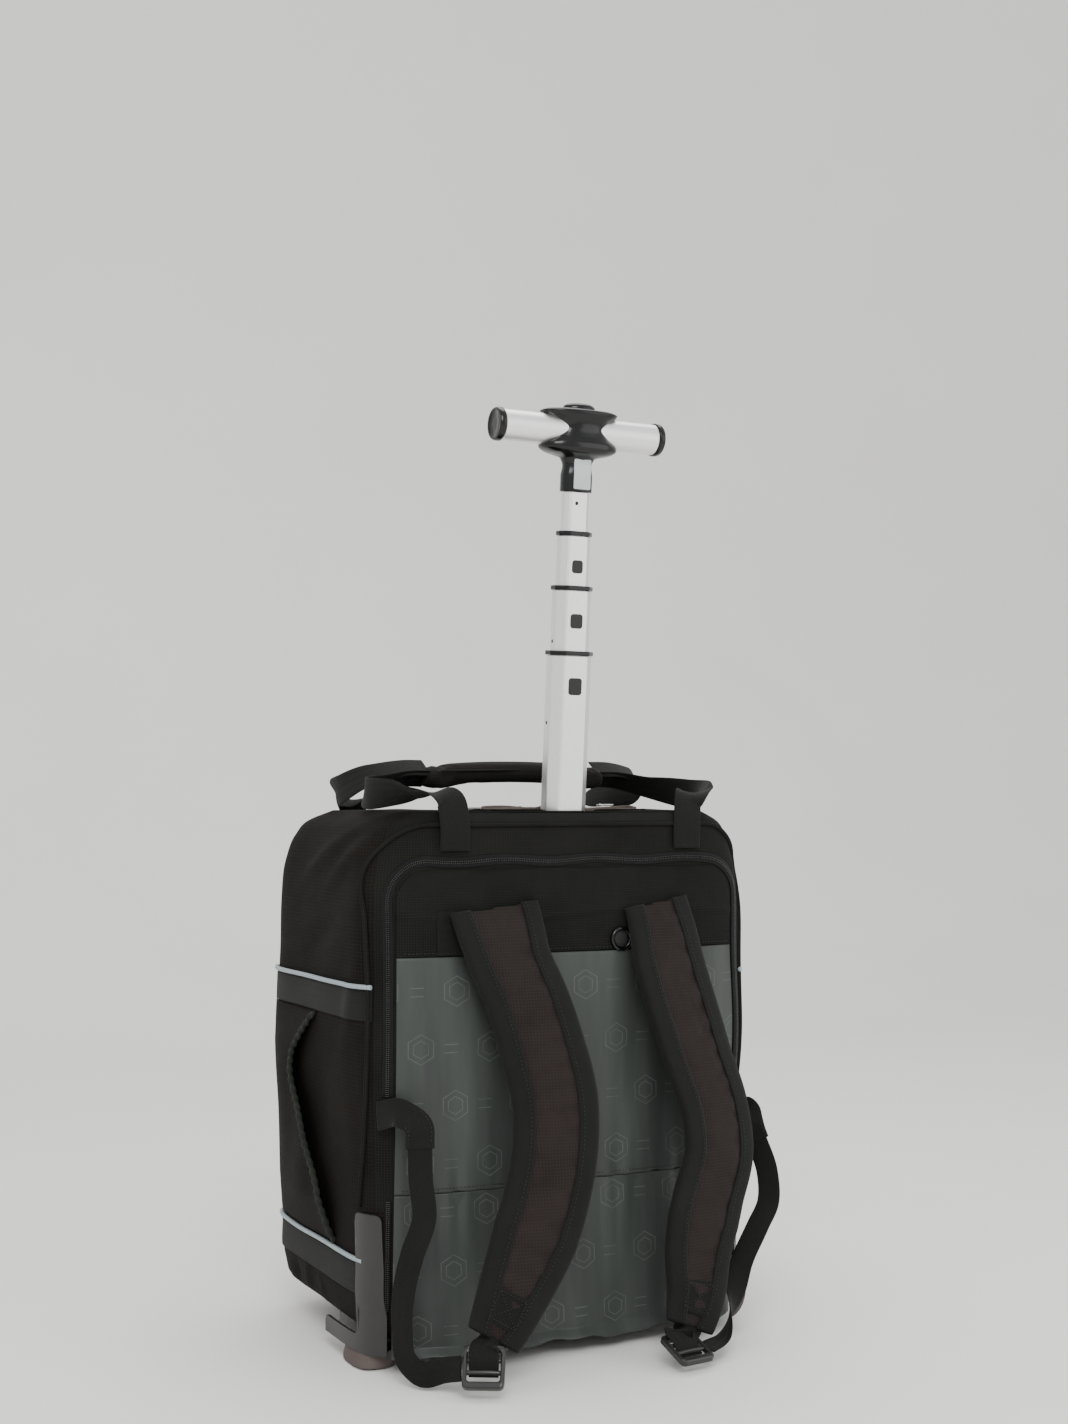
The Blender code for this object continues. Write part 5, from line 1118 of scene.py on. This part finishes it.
# the buckle's middle and its tilt and turn in degrees, and the webbing's way through it
BUCKLES = {"left": ((-0.1235, BACK_Y - 0.0770, 0.0235), (48, -30)),
           "right": ((0.0600, BACK_Y - 0.0875, 0.0165), (22, 6))}
THROUGH = np.array([(0, 0.0150, 0.0042), (0, 0.0055, 0.0038), (0, -0.0010, 0.0), (0, -0.0070, -0.0022)])
BAR_HALF = 0.0145
for label, (place, angles) in BUCKLES.items():
    def on_buckle(points, place=place, angles=angles):
        """A buckle's own width, length and height, set in its place."""
        return mapped(points, place, angles)

    rim = moulding("buckle_frame_" + label, rounded(rectangle(0.034, 0.036), 5 * MM), -3 * MM, 3 * MM, acetal,
                   1.0 * MM, on_buckle, hole=rounded(rectangle(0.0268, 0.0245), 3 * MM))
    placed(rim, "bag", ["buckle_" + label])
    t = np.linspace(-BAR_HALF, BAR_HALF, 24)
    for k, y in enumerate((-0.0045, 0.0055), start=1):
        bar = on_buckle(np.stack([t, np.full(24, y), 1.2 * MM * np.cos(t / BAR_HALF * 1.3)], axis=1))
        rod = strand("buckle_bar_%s_%d" % (label, k), bar, 2.0 * MM, acetal, sides=12)
        placed(rod, "bag")
    strap, w, u = STRAP_LINES[label][:3]
    wide = mapped(np.array([(1.0, 0.0, 0.0)]), (0, 0, 0), angles)
    points = np.concatenate([strap[[-8, -1]], on_buckle(THROUGH)])
    across = np.concatenate([w[[-8, -1]], np.repeat(wide, len(THROUGH), axis=0)])
    tongue = band_along("buckle_webbing_" + label, points, across, 0.024, 1.8 * MM, webbing)[0]
    placed(tongue, "bag")
print("buckles: 2")

# %% [markdown]
# ## The top handle
#
# Four webbings rise from the seams and meet in a padded wrap, which the hand closes round. The wrap is
# simulated as the straps are: its two ends are held by the webbing, and the middle puffs up and wrinkles.

# %% Handle webbings and wrap
HANDLE_X, GRIP_END, GRIP_Y, GRIP_RISE = 0.115, 0.092, MIDDLE_Y - 0.012, 0.034
GRIP_Z = TOP + GRIP_RISE
# sideways from HANDLE_X, share of the way in to the grip, height as a share, and width direction
REAR_WEB = np.array([(0.004, 0.016, 0.294, 1, 0.2, 0.1), (0.030, 0.195, 0.471, 0.5, -0.2, 0.8),
                     (0.050, 0.642, 0.456, 0.1, -0.3, 1), (0.030, 0.902, 0.618, 0, -0.7, 0.7)])
FRONT_WEB = np.array([(0.002, 0.0, 0.103, 1, -0.2, 0.1), (0.028, 0.241, 0.426, 0.5, 0.2, 0.8),
                      (0.040, 0.593, 0.559, 0.1, 0.3, 1), (0.026, 0.870, 0.912, 0, 0.7, 0.7)])
SEWN_REAR = [on_back(HANDLE_X, 0.4325, 3.0 * MM), on_back(HANDLE_X, TOP - 0.012, 4.5 * MM)]
SEWN_FRONT = [on_front(HANDLE_X, TOP - 0.016, 2.2 * MM)]
# the webbing's edge of the bag, its table, its sewn points, and -1 behind or 1 in front
HANDLE_WEBS = {"rear": (BACK_Y, REAR_WEB, SEWN_REAR, -1),
               "front": (MIDDLE_Y + 0.096, FRONT_WEB, SEWN_FRONT, 1)}
for label, side in SIDES:
    flip = np.array((side, 1, 1))
    for kind, (edge, table, sewn, face) in HANDLE_WEBS.items():
        free = np.stack([HANDLE_X + table[:, 0], edge + table[:, 1] * (GRIP_Y - edge),
                         TOP + table[:, 2] * GRIP_RISE], axis=1)
        end = [(GRIP_END + reach, GRIP_Y, GRIP_Z + face * 0.005) for reach in (0.016, -0.004)]
        across = np.concatenate([[(1, 0, 0)] * len(sewn), table[:, 3:], [(0, face * 0.9, 0.55)] * 2]) * flip
        points = np.concatenate([sewn, free, end]) * flip
        name = kind + "_" + label
        web = band_along("handle_webbing_" + name, points, across, 0.028, 1.6 * MM, webbing, 130)[0]
        placed(web, "bag", ["handle_web_" + name])

share = np.linspace(-1, 1, 90)[:, None]
round_end = np.clip((1 - np.abs(share)) / 0.06, 0, 1) ** 0.5 * 0.30 + 0.70
angle = np.linspace(0, math.tau, 48, endpoint=False)[None]
c, s = np.cos(angle), np.sin(angle)
wrap_y = GRIP_Y + 0.0158 * round_end * np.sign(c) * np.abs(c) ** 0.8
wrap_z = GRIP_Z - 0.004 * share**2 + 0.0098 * round_end * np.sign(s) * np.abs(s) ** 0.9
grid = np.stack([np.broadcast_to(share * GRIP_END, wrap_y.shape), wrap_y, wrap_z], axis=-1)
grip = surface("grip_pad", grid, grip_ripstop, wrap=True, caps="az")
puffed(grip, lambda p: np.abs(p[:, 0]) > GRIP_END - 0.006, 3.4 * MM, 4.0, 0.06, 2.0 * MM, grip_ripstop)
placed(grip, "bag", ["grip_wrap"])
fold_x = np.linspace(-0.080, 0.030, 60)
fold = np.stack([fold_x, GRIP_Y - 0.0166 + 0.012 * np.clip((fold_x + 0.02) / 0.05, 0, 1) ** 2,
                 GRIP_Z + 0.002 + 0.020 * (fold_x + 0.080)], axis=1)
placed(strand("grip_fold", fold, 0.9 * MM, grip_ripstop, sides=8), "bag")
print("handle webbings: 4, and the wrap")

# %% [markdown]
# ## Running gear
#
# Each rear corner has a wheel in a moulded housing and an L-shaped guard outside it. The guard is one
# curved sheet: its upper edge is the L's outline run through from end to end, its lower edge is straight,
# and the rows in between divide the distance.

# %% Guards
LEG, REACH, GUARD_FOOT, GUARD_TOP, SOLE, GUARD_ROUND = 0.029, 0.099, 0.0135, 0.130, 0.0275, 6 * MM
TOE_ROUND = 4 * MM


def corner_points(side, run, z, lift):
    """Points round a rear corner: run is the length along the section from 45 degrees of its angle."""
    t = np.linspace(math.radians(45), 0.0, 600)
    a, back, _ = outline(WALL_FOOT)
    section = np.stack([a * np.cos(t) ** (2 / SQUARENESS), -back * np.sin(t) ** (2 / SQUARENESS)], axis=1)
    y = np.interp(run, run_along(section), section[:, 1])
    a, back, _ = outline(np.maximum(z, WALL_FOOT))
    p = lifted(other_half(y, back, a), y, np.maximum(z, WALL_FOOT), lift, folded=False)
    return np.stack([p[..., 0] * side, p[..., 1], z], axis=-1)


def quarter(way):
    """How far a quarter circle has dropped, in shares of its radius, at a share of the way along it."""
    return 1 - np.sqrt(1 - np.clip(way, 0, 1) ** 2)


bend = np.linspace(0, 1, 14)
run = np.concatenate([
    GUARD_ROUND * bend[:-1] ** 2, np.linspace(GUARD_ROUND, LEG - GUARD_ROUND, 12),
    LEG - GUARD_ROUND * (1 - bend[1:]) ** 2, LEG + 0.1 * MM + GUARD_ROUND * bend ** 2,
    np.linspace(LEG + GUARD_ROUND + 1 * MM, REACH, 30)])
outer_corner = quarter((run - LEG + GUARD_ROUND) / GUARD_ROUND)
outer_corner = outer_corner + quarter(1 - run / GUARD_ROUND) * (run < GUARD_ROUND)
inner_corner = quarter(1 - (run - LEG) / GUARD_ROUND)
toe = quarter((run - REACH + TOE_ROUND) / TOE_ROUND)
upper_edge = np.where(run <= LEG, GUARD_TOP - GUARD_ROUND * outer_corner,
                      SOLE + GUARD_ROUND * inner_corner - TOE_ROUND * toe)
for label, side in SIDES:
    z = GUARD_FOOT + (upper_edge - GUARD_FOOT)[None] * np.linspace(0, 1, 40)[:, None]
    grid = corner_points(side, np.broadcast_to(run, z.shape), z, 0.9 * MM)[:, ::side]
    guard = surface("guard_moulding_" + label, grid, satin_abs, wall=2.6 * MM)
    ease = guard.modifiers.new("eased edge", "BEVEL")
    ease.width, ease.segments, ease.limit_method, ease.angle_limit = 0.9 * MM, 2, "ANGLE", math.radians(50)
    placed(guard, "bag", ["corner_guard_" + label])
print("guards: 2")

# %% Wheels
def turned_about_x(name, profile, centre, material, count=72):
    """A closed profile of radius and place along X, turned about the axle."""
    angle = np.linspace(0, math.tau, count, endpoint=False)[None]
    y, z = centre[1] + profile[:, :1] * np.cos(angle), centre[2] + profile[:, :1] * np.sin(angle)
    x = np.broadcast_to(centre[0] + profile[:, 1:], y.shape)
    return surface(name, np.stack([x, y, z], axis=-1), material, wrap=True)


TREAD_HALF, TREAD_PITCH, TREAD_DEPTH = 0.0105, 0.0052, 0.0007
tread_x = np.linspace(-TREAD_HALF, TREAD_HALF, 43)
tread_r = (WHEEL_Z - TREAD_DEPTH * (np.abs(np.sin(tread_x * math.pi / TREAD_PITCH)) < 0.35)
           - 0.6 * MM * (np.abs(tread_x) / TREAD_HALF) ** 6)
FLANK = np.array([(0.0272, -0.0120), (0.0330, -0.0129), (0.0341, -0.0119)])
TYRE = np.concatenate([FLANK, np.stack([tread_r, tread_x], axis=1), FLANK[::-1] * (1, -1), FLANK[:1]])
for label, side in SIDES:
    tyre = crisp(turned_about_x("tread_" + label, TYRE, (side * WHEEL_X, WHEEL_Y, WHEEL_Z), rubber), 45)
    placed(tyre, "wheel_" + label, ["tyre_" + label])
FINISHES = {"hub_left": satin_abs, "hub_right": satin_abs, "axle_left": puller_metal,
            "axle_right": puller_metal, "chassis": satin_abs, "foot_left": rubber, "foot_right": rubber,
            "pole_channel": aluminium}
for name, finish in FINISHES.items():
    frame["nodes"][name].data.materials.clear()
    frame["nodes"][name].data.materials.append(finish)
print("wheels: 2, solids that keep their shape:", len(FINISHES))

# %% [markdown]
# ## The telescopic pole
#
# Four aluminium tubes slide in each other. Their section is a flat octagon whose corners are eased by a
# millimetre. Everything on the pole is worked out upright and then leaned back by five degrees, with one
# function that maps its own width, depth and height into the bag's frame.

# %% Pole
LEAN = math.radians(5.0)
POLE_Y = BACK_Y + 0.021
TUBE_WALL, COLLAR_WALL, COLLAR_GAP = 1.4 * MM, 1.4 * MM, 0.4 * MM


def on_pole(points):
    """Upright pole coordinates (width, depth, height above the bag's top) leaned about the bag's top."""
    x, y, h = np.moveaxis(np.asarray(points, float), -1, 0)
    c, s = math.cos(LEAN), math.sin(LEAN)
    return np.stack([x, POLE_Y + y * c - h * s, TOP + y * s + h * c], axis=-1)


def octagon(width, thick, chamfer):
    """A flat box with cut corners, eased at each of its eight corners."""
    w, t, c = width / 2, thick / 2, chamfer
    half = np.array([(w, -t + c), (w, t - c), (w - c, t), (-w + c, t)])
    return rounded(np.concatenate([half, -half]), 1.3 * MM, 5)


# width, thickness, chamfer, lower and upper end along the pole, and the snap tab's width and height
TUBES = [(0.0400, 0.0270, 0.0085, -0.2500, 0.1375, 0.0130, 0.0150),
         (0.0350, 0.0225, 0.0072, -0.0985, 0.1950, 0.0120, 0.0128),
         (0.0300, 0.0180, 0.0058, -0.0210, 0.2430, 0.0106, 0.0115),
         (0.0255, 0.0135, 0.0045, 0.0470, 0.2820, 0, 0)]
TAB_DROP = 0.0268
for k, (width, thick, chamfer, low, high, *tab) in enumerate(TUBES, start=1):
    number, body = str(k), "stage_" + str(k)
    bore = octagon(width - 2 * TUBE_WALL, thick - 2 * TUBE_WALL, chamfer - 0.8 * MM)
    tube = moulding("pole_tube_" + number, octagon(width, thick, chamfer), low, high, aluminium, 0.3 * MM,
                    on_pole, hole=bore)
    placed(tube, body, ["tube_" + number])
    if k == len(TUBES):
        break
    wide = octagon(width + 2 * COLLAR_WALL, thick + 2 * COLLAR_WALL, chamfer + 0.8 * MM)
    next_width, next_thick, next_chamfer = TUBES[k][:3]
    bore = octagon(next_width + 0.8 * MM, next_thick + 0.8 * MM, next_chamfer + 0.2 * MM)
    collar = moulding("pole_collar_" + number, wide, high + COLLAR_GAP, high + COLLAR_GAP + 4 * MM, gloss_abs,
                      0.6 * MM, on_pole, hole=bore)
    placed(collar, body, ["collar_" + number])

    def on_face(points, middle=high - TAB_DROP, depth=thick / 2):
        """A snap tab's own width, height and depth, set on the rear face of its tube."""
        x, h, out = np.moveaxis(points, -1, 0)
        return on_pole(np.stack([x, -depth - out, middle + h], axis=-1))

    snap = moulding("snap_tab_" + number, rounded(rectangle(*tab), 3 * MM), -0.1 * MM, 0.45 * MM, gloss_abs,
                    0.2 * MM, on_face)
    placed(snap, body)
# a lock pin's hole, drawn as a dark plug that paints the shade inside it: a low round plug standing 0.2 mm
# out of the tube; its number, place and way out
PIN_HOLE_SHADES = (("4", (-0.002, -0.00675, 0.272), (0, -1, 0)), ("1", (-0.0200, 0.0, 0.078), (-1, 0, 0)),
              ("2", (-0.0175, 0.0, 0.150), (-1, 0, 0)))
for number, place, out in PIN_HOLE_SHADES:
    line = on_pole(np.array(place) + np.array(out) * np.linspace(-0.4 * MM, 0.2 * MM, 4)[:, None])
    mouth = strand("pin_hole_shade_" + number, line, 1.7 * MM, gloss_abs, across=(0.1, 1.0, 1.0), sides=18)
    placed(mouth, "stage_" + number)
print("pole: 4 tubes, 3 collars, 3 tabs, 3 pin mouths")

# %% [markdown]
# ## The T handle
#
# A gloss black spool grips a round aluminium bar, with a release button domed out of its top. The spool
# is rings of a soft superellipse whose half width and depth come from a table and run through it smoothly.

# %% T handle
BAR_H, BAR_RADIUS, SPOOL_HEIGHT, SPOOL_HALF = 0.3353, 0.0135, 0.018, (0.0365, 0.0195)
# height from the bar's middle, half width and half depth, in shares of SPOOL_HEIGHT and SPOOL_HALF
SPOOL = np.array([
    (-2.94, 0.400, 0.490), (-2.2, 0.400, 0.490), (-1.42, 0.405, 0.495), (-1.28, 0.46, 0.55),
    (-1.10, 0.80, 0.85), (-0.92, 0.975, 0.985), (-0.72, 1.00, 1.00), (-0.30, 0.79, 0.89),
    (0.12, 0.67, 0.82), (0.45, 0.76, 0.86),
    (0.80, 0.975, 0.965), (0.93, 0.985, 0.965), (1.00, 0.90, 0.90)])
levels = np.linspace(-2.935, 1.0, 150)[:, None]
shape = smooth(levels[:, 0], SPOOL[:, 0], SPOOL[:, 1:]) * SPOOL_HALF
angle = np.linspace(0, math.tau, 96, endpoint=False)
cu, cv = soft_square(angle, 0.8, 0.8)
height = np.broadcast_to(BAR_H + levels * SPOOL_HEIGHT, (150, 96))
rings = np.stack([shape[:, :1] * cu, shape[:, 1:] * cv, height], axis=-1)
# the last rings draw in to close the top: their share of the width and their rise
CLOSING = ((0.93, 0.35 * MM), (0.70, 0.5 * MM), (0.3, 0.5 * MM))
tops = [rings[-1] * (share, share, 1) + (0, 0, rise) for share, rise in CLOSING]
spool = surface("handle_spool", on_pole(np.concatenate([rings, tops])), gloss_abs, wrap=True, caps="az")
placed(spool, "stage_4", ["grip_hub"])


def along_bar(name, profile, material, count=64):
    """A profile of place along the bar and radius, turned about the bar's middle line."""
    profile = np.asarray(profile, float)
    angle = np.linspace(0, math.tau, count, endpoint=False)
    y, h = profile[:, 1:] * np.cos(angle)[None], BAR_H + profile[:, 1:] * np.sin(angle)[None]
    x = np.broadcast_to(profile[:, :1], y.shape)
    return surface(name, on_pole(np.stack([x, y, h], axis=-1)), material, wrap=True, caps="az")


rod = [(-0.0760, 0.0131), (-0.0756, BAR_RADIUS), *((x, BAR_RADIUS) for x in np.linspace(-0.07, 0.07, 9)),
       (0.0756, BAR_RADIUS), (0.0760, 0.0131)]
placed(crisp(along_bar("handle_bar", rod, bar_metal)), "stage_4", ["cross_bar"])
t = np.linspace(0, math.pi / 2, 7)
lip = np.stack([0.0786 + 0.0039 * np.sin(t) * 0.95, 0.0132 + 0.0015 * np.cos(t)], axis=1)
cap_profile = np.concatenate([[(0.0764, 0.0120), (0.0764, 0.0143), (0.0768, 0.0147)], lip,
                              [(0.0824, 0.0118), (0.0818, 0.0112), (0.0818, 0.004)]])
for label, side in SIDES[::-1]:
    cap = along_bar("bar_end_" + label, cap_profile[::side] * (side, 1), gloss_abs)
    placed(cap, "stage_4", ["bar_cap_" + label])

dome = np.linspace(0, 1, 24) * math.pi / 2
heights = BAR_H + BAR_RADIUS + 2.9 * MM + np.concatenate([[0.0], 0.0032 + 0.0053 * np.sin(dome)])
widths = np.concatenate([[1.0], np.cos(dome[:-1]) ** 0.55, [0.05]])
flat = np.stack([np.cos(angle), np.sin(angle), 0 * angle], axis=1)
grid = flat[None] * (0.0155, 0.0110, 0) * widths[:, None, None] + np.array((0, 0, 1)) * heights[:, None, None]
button = surface("button_dome", on_pole(grid), gloss_abs, wrap=True, caps="az")
placed(button, "button", ["release_button"])
circle = np.concatenate([flat, flat[:1]]) * (0.0166, 0.0121, 0) + (0, 0, BAR_H + 0.0186)
placed(strand("silver_line", on_pole(circle), 0.45 * MM, puller_metal, sides=8), "stage_4")


def on_neck(points):
    """The neck panel's own width, height and depth, set on the rear of the neck."""
    x, h, out = np.moveaxis(points, -1, 0)
    return on_pole(np.stack([x + 0.0012, -0.0090 - out, 0.2975 + h], axis=-1))


panel = moulding("neck_panel", rounded(rectangle(0.0165, 0.0265), 1.5 * MM), -1.0 * MM, 0.75 * MM,
                 light_panel, 0.25 * MM, on_neck)
placed(panel, "stage_4")
print("T handle: 7 pieces")

# %% [markdown]
# ## Small things on the back
#
# The yoke has a plastic eyelet, a patch of upright webbing and a bound top edge. A piped seam runs round
# the whole back, and a short zip stands beside each wheel flap. They are small, but they catch the light
# and the eye.

# %% Back details
def upright_grid(x, z, lift):
    """A grid on the back whose columns run up it, so that the webbing's ribs do."""
    return on_back(*np.meshgrid(x, z), lift).transpose(1, 0, 2)[::-1]


grid = upright_grid(spread(0.118, 110), np.linspace(TOP - 0.011, TOP - 0.002, 10), 0.5 * MM)
placed(surface("top_edge_binding", grid, binding, wall=1.3 * MM), "bag", ["top_binding"])

around = np.linspace(0, math.tau, 73)
middle = on_back(0.045, 0.353, 3.4 * MM)
ring = middle + 0.009 * np.stack([np.cos(around), 0 * around, np.sin(around)], axis=1)
eyelet = strand("eyelet_ring", ring, 1.9 * MM, gloss_abs, across=(0, 1, 0), sides=14)
placed(eyelet, "bag", ["eyelet"])
inwards = middle + np.array((0, 1, 0)) * np.linspace(0.9, -0.4, 5)[:, None] * MM
placed(strand("eyelet_mouth", inwards, 7.4 * MM, rubber, across=(1, 0, 0), sides=40), "bag")
grid = upright_grid(np.linspace(-0.131, -0.104, 24), np.linspace(0.3445, 0.381, 30), 2.0 * MM)
placed(surface("yoke_webbing", grid, webbing, wall=1.2 * MM), "bag")

path = arch(0.1845, 0.4545, 0.134, 0.050, steps=30)
line = resampled(on_back(path[:, 0], path[:, 1], 1.2 * MM), 420)
placed(strand("back_piping", line, 2.1 * MM, yoke_ripstop, across=(0, 1, 0), sides=12), "bag")
for label, side in SIDES:
    z = np.linspace(0.142, 0.050 if side < 0 else 0.100, 60)
    line, up = line_on_back(np.full(60, side * 0.1692), z, 1.0 * MM, folded=False)
    zip_along("side_zip_" + label, line, up, 4.6 * MM)
for label, height in (("yoke_top", YOKE_FOOT + 0.003), ("panel_foot", PANEL_FOOT + 0.0035)):
    seam("seam_" + label, *line_on_back(np.linspace(-0.160, 0.160, 120), np.full(120, height), 2.9 * MM))
print("back details: binding, patch, eyelet, piping, 2 zips, 2 seams")

# %% Lining that shows low down
curl = [(-0.166, 0.014, 0.008), (-0.1865, -0.036, 0.0075), (-0.180, -0.066, 0.008), (-0.161, -0.068, 0.009),
        (-0.150, -0.060, 0.012)]
placed(band_along("lining_curl_left", curl, [(0.3, 0, 1)] * 5, 0.013, 1.6 * MM, lining, 90)[0], "bag")
r, angle = np.meshgrid(np.linspace(0.02, 1, 14), np.linspace(-1.65, 1.65, 34), indexing="ij")
lobe = np.stack([0.158 + 0.0165 * r * np.cos(angle), BACK_Y - 0.002 - 0.007 * np.sqrt(1.0001 - r**2),
                 0.036 + 0.027 * r * np.sin(angle)], axis=-1)
placed(surface("lining_lobe_right", lobe[:, ::-1], lining, wall=1.0 * MM), "bag")
print("lining: a curl and a lobe")

# %% [markdown]
# ## The top: slot, zip and puller
#
# The pole comes out of a slot that is lined with pale taffeta, crumpled at its edge. In front of it runs
# a straight zip with a metal puller, a plate with a hole cast in one piece.

# %% Top details
ZIP_Y = BACK_Y + 0.0570
around = np.linspace(-0.40, math.pi + 0.40, 190)[None]
depth = np.linspace(-0.030, 0.0035, 20)[:, None]
reach = reach_at(around, *SLOT_HALF, SLOT_POWER)
crumple = 0.6 * MM * np.sin(9 * around + 5 * np.sin(3 * around)) * np.clip(1 + depth / 0.02, 0, 1)
sleeve = np.stack([
    (reach * 0.975 + crumple) * np.cos(around), SLOT_Y + (reach * 0.95 + crumple) * np.sin(around),
    TOP + depth + 1.3 * MM * np.sin(7 * around + 1) * (depth > -0.004)], axis=-1)
placed(surface("slot_lining", sleeve, lining, wall=-0.5 * MM), "bag")
line = np.linspace((-0.075, ZIP_Y, TOP + 1.9 * MM), (0.075, ZIP_Y, TOP + 1.9 * MM), 80)
zip_along("top_zip", line, np.tile((0.0, 0.0, 1.0), (80, 1)), 0.009, light_coil, ["zip_top"])
puller = moulding("puller_plate", rounded(rectangle(0.016, 0.007), 2 * MM), 0.0, 1.6 * MM, puller_metal,
                  0.4 * MM, lambda points: points + (0.063, ZIP_Y, TOP + 0.0042),
                  hole=rounded(rectangle(0.009, 0.0032), 1.2 * MM))
placed(puller, "bag", ["zip_puller"])
print("top details: lining, zip, puller")

# %% [markdown]
# ## Floor and light
#
# A pale floor and soft light from large areas show cloth best: one large key from the left, a fill from
# the right, and a low grey world that opens the shadows.

# %% Studio
floor_paint, tree, shader = new_material("matt floor paint", Roughness=0.7)
place = add(tree, "TexCoord").outputs["Object"]
cloud = add(tree, "TexNoise", {"Vector": place, "Scale": 3.0, "Detail": 3.0}).outputs["Fac"]
tone = add(tree, "Mix", {0: cloud, 6: linear("#eceae7"), 7: linear("#f3f2f0")}, data_type="RGBA").outputs[2]
joined(tree, shader, Base_Color=tone)
t = np.linspace(0, math.pi / 2, 16)[1:]
floor_y = np.concatenate([[-4.0, -1.0, 1.6], 1.6 + 1.2 * np.sin(t), [2.8]])
floor_z = np.concatenate([[0, 0, 0], 1.2 * (1 - np.cos(t)), [4.0]])
floor_x = np.linspace(-4, 5, 4)[None]
grid = np.stack(np.broadcast_arrays(floor_x, floor_y[:, None], floor_z[:, None]), axis=-1)
surface("floor", grid, floor_paint)
world = bpy.data.worlds.new("studio")
bpy.context.scene.world = world
world.use_nodes = True
world.node_tree.nodes["Background"].inputs["Color"].default_value = linear("#f4f5f6")
world.node_tree.nodes["Background"].inputs["Strength"].default_value = 1.15
# place, aim, power in watts, size in metres
LIGHTS = {"key": ((-0.9, -2.0, 1.9), (0, 0, 0.3), 44, 1.2), "fill": ((1.5, -1.8, 1.0), (0, 0, 0.3), 12, 1.6),
          "top": ((0.3, 0.4, 2.3), (0, 0, 0.4), 16, 1.2)}
for name, (place, aim, power, size) in LIGHTS.items():
    data = bpy.data.lights.new(name, "AREA")
    data.energy, data.size = power, size
    lamp = linked(name, data)
    lamp.location = place
    way = unit(np.array(aim) - place)
    lamp.rotation_euler = (math.acos(-way[2]), 0.0, math.atan2(-way[0], way[1]))
print("lights:", len(LIGHTS))
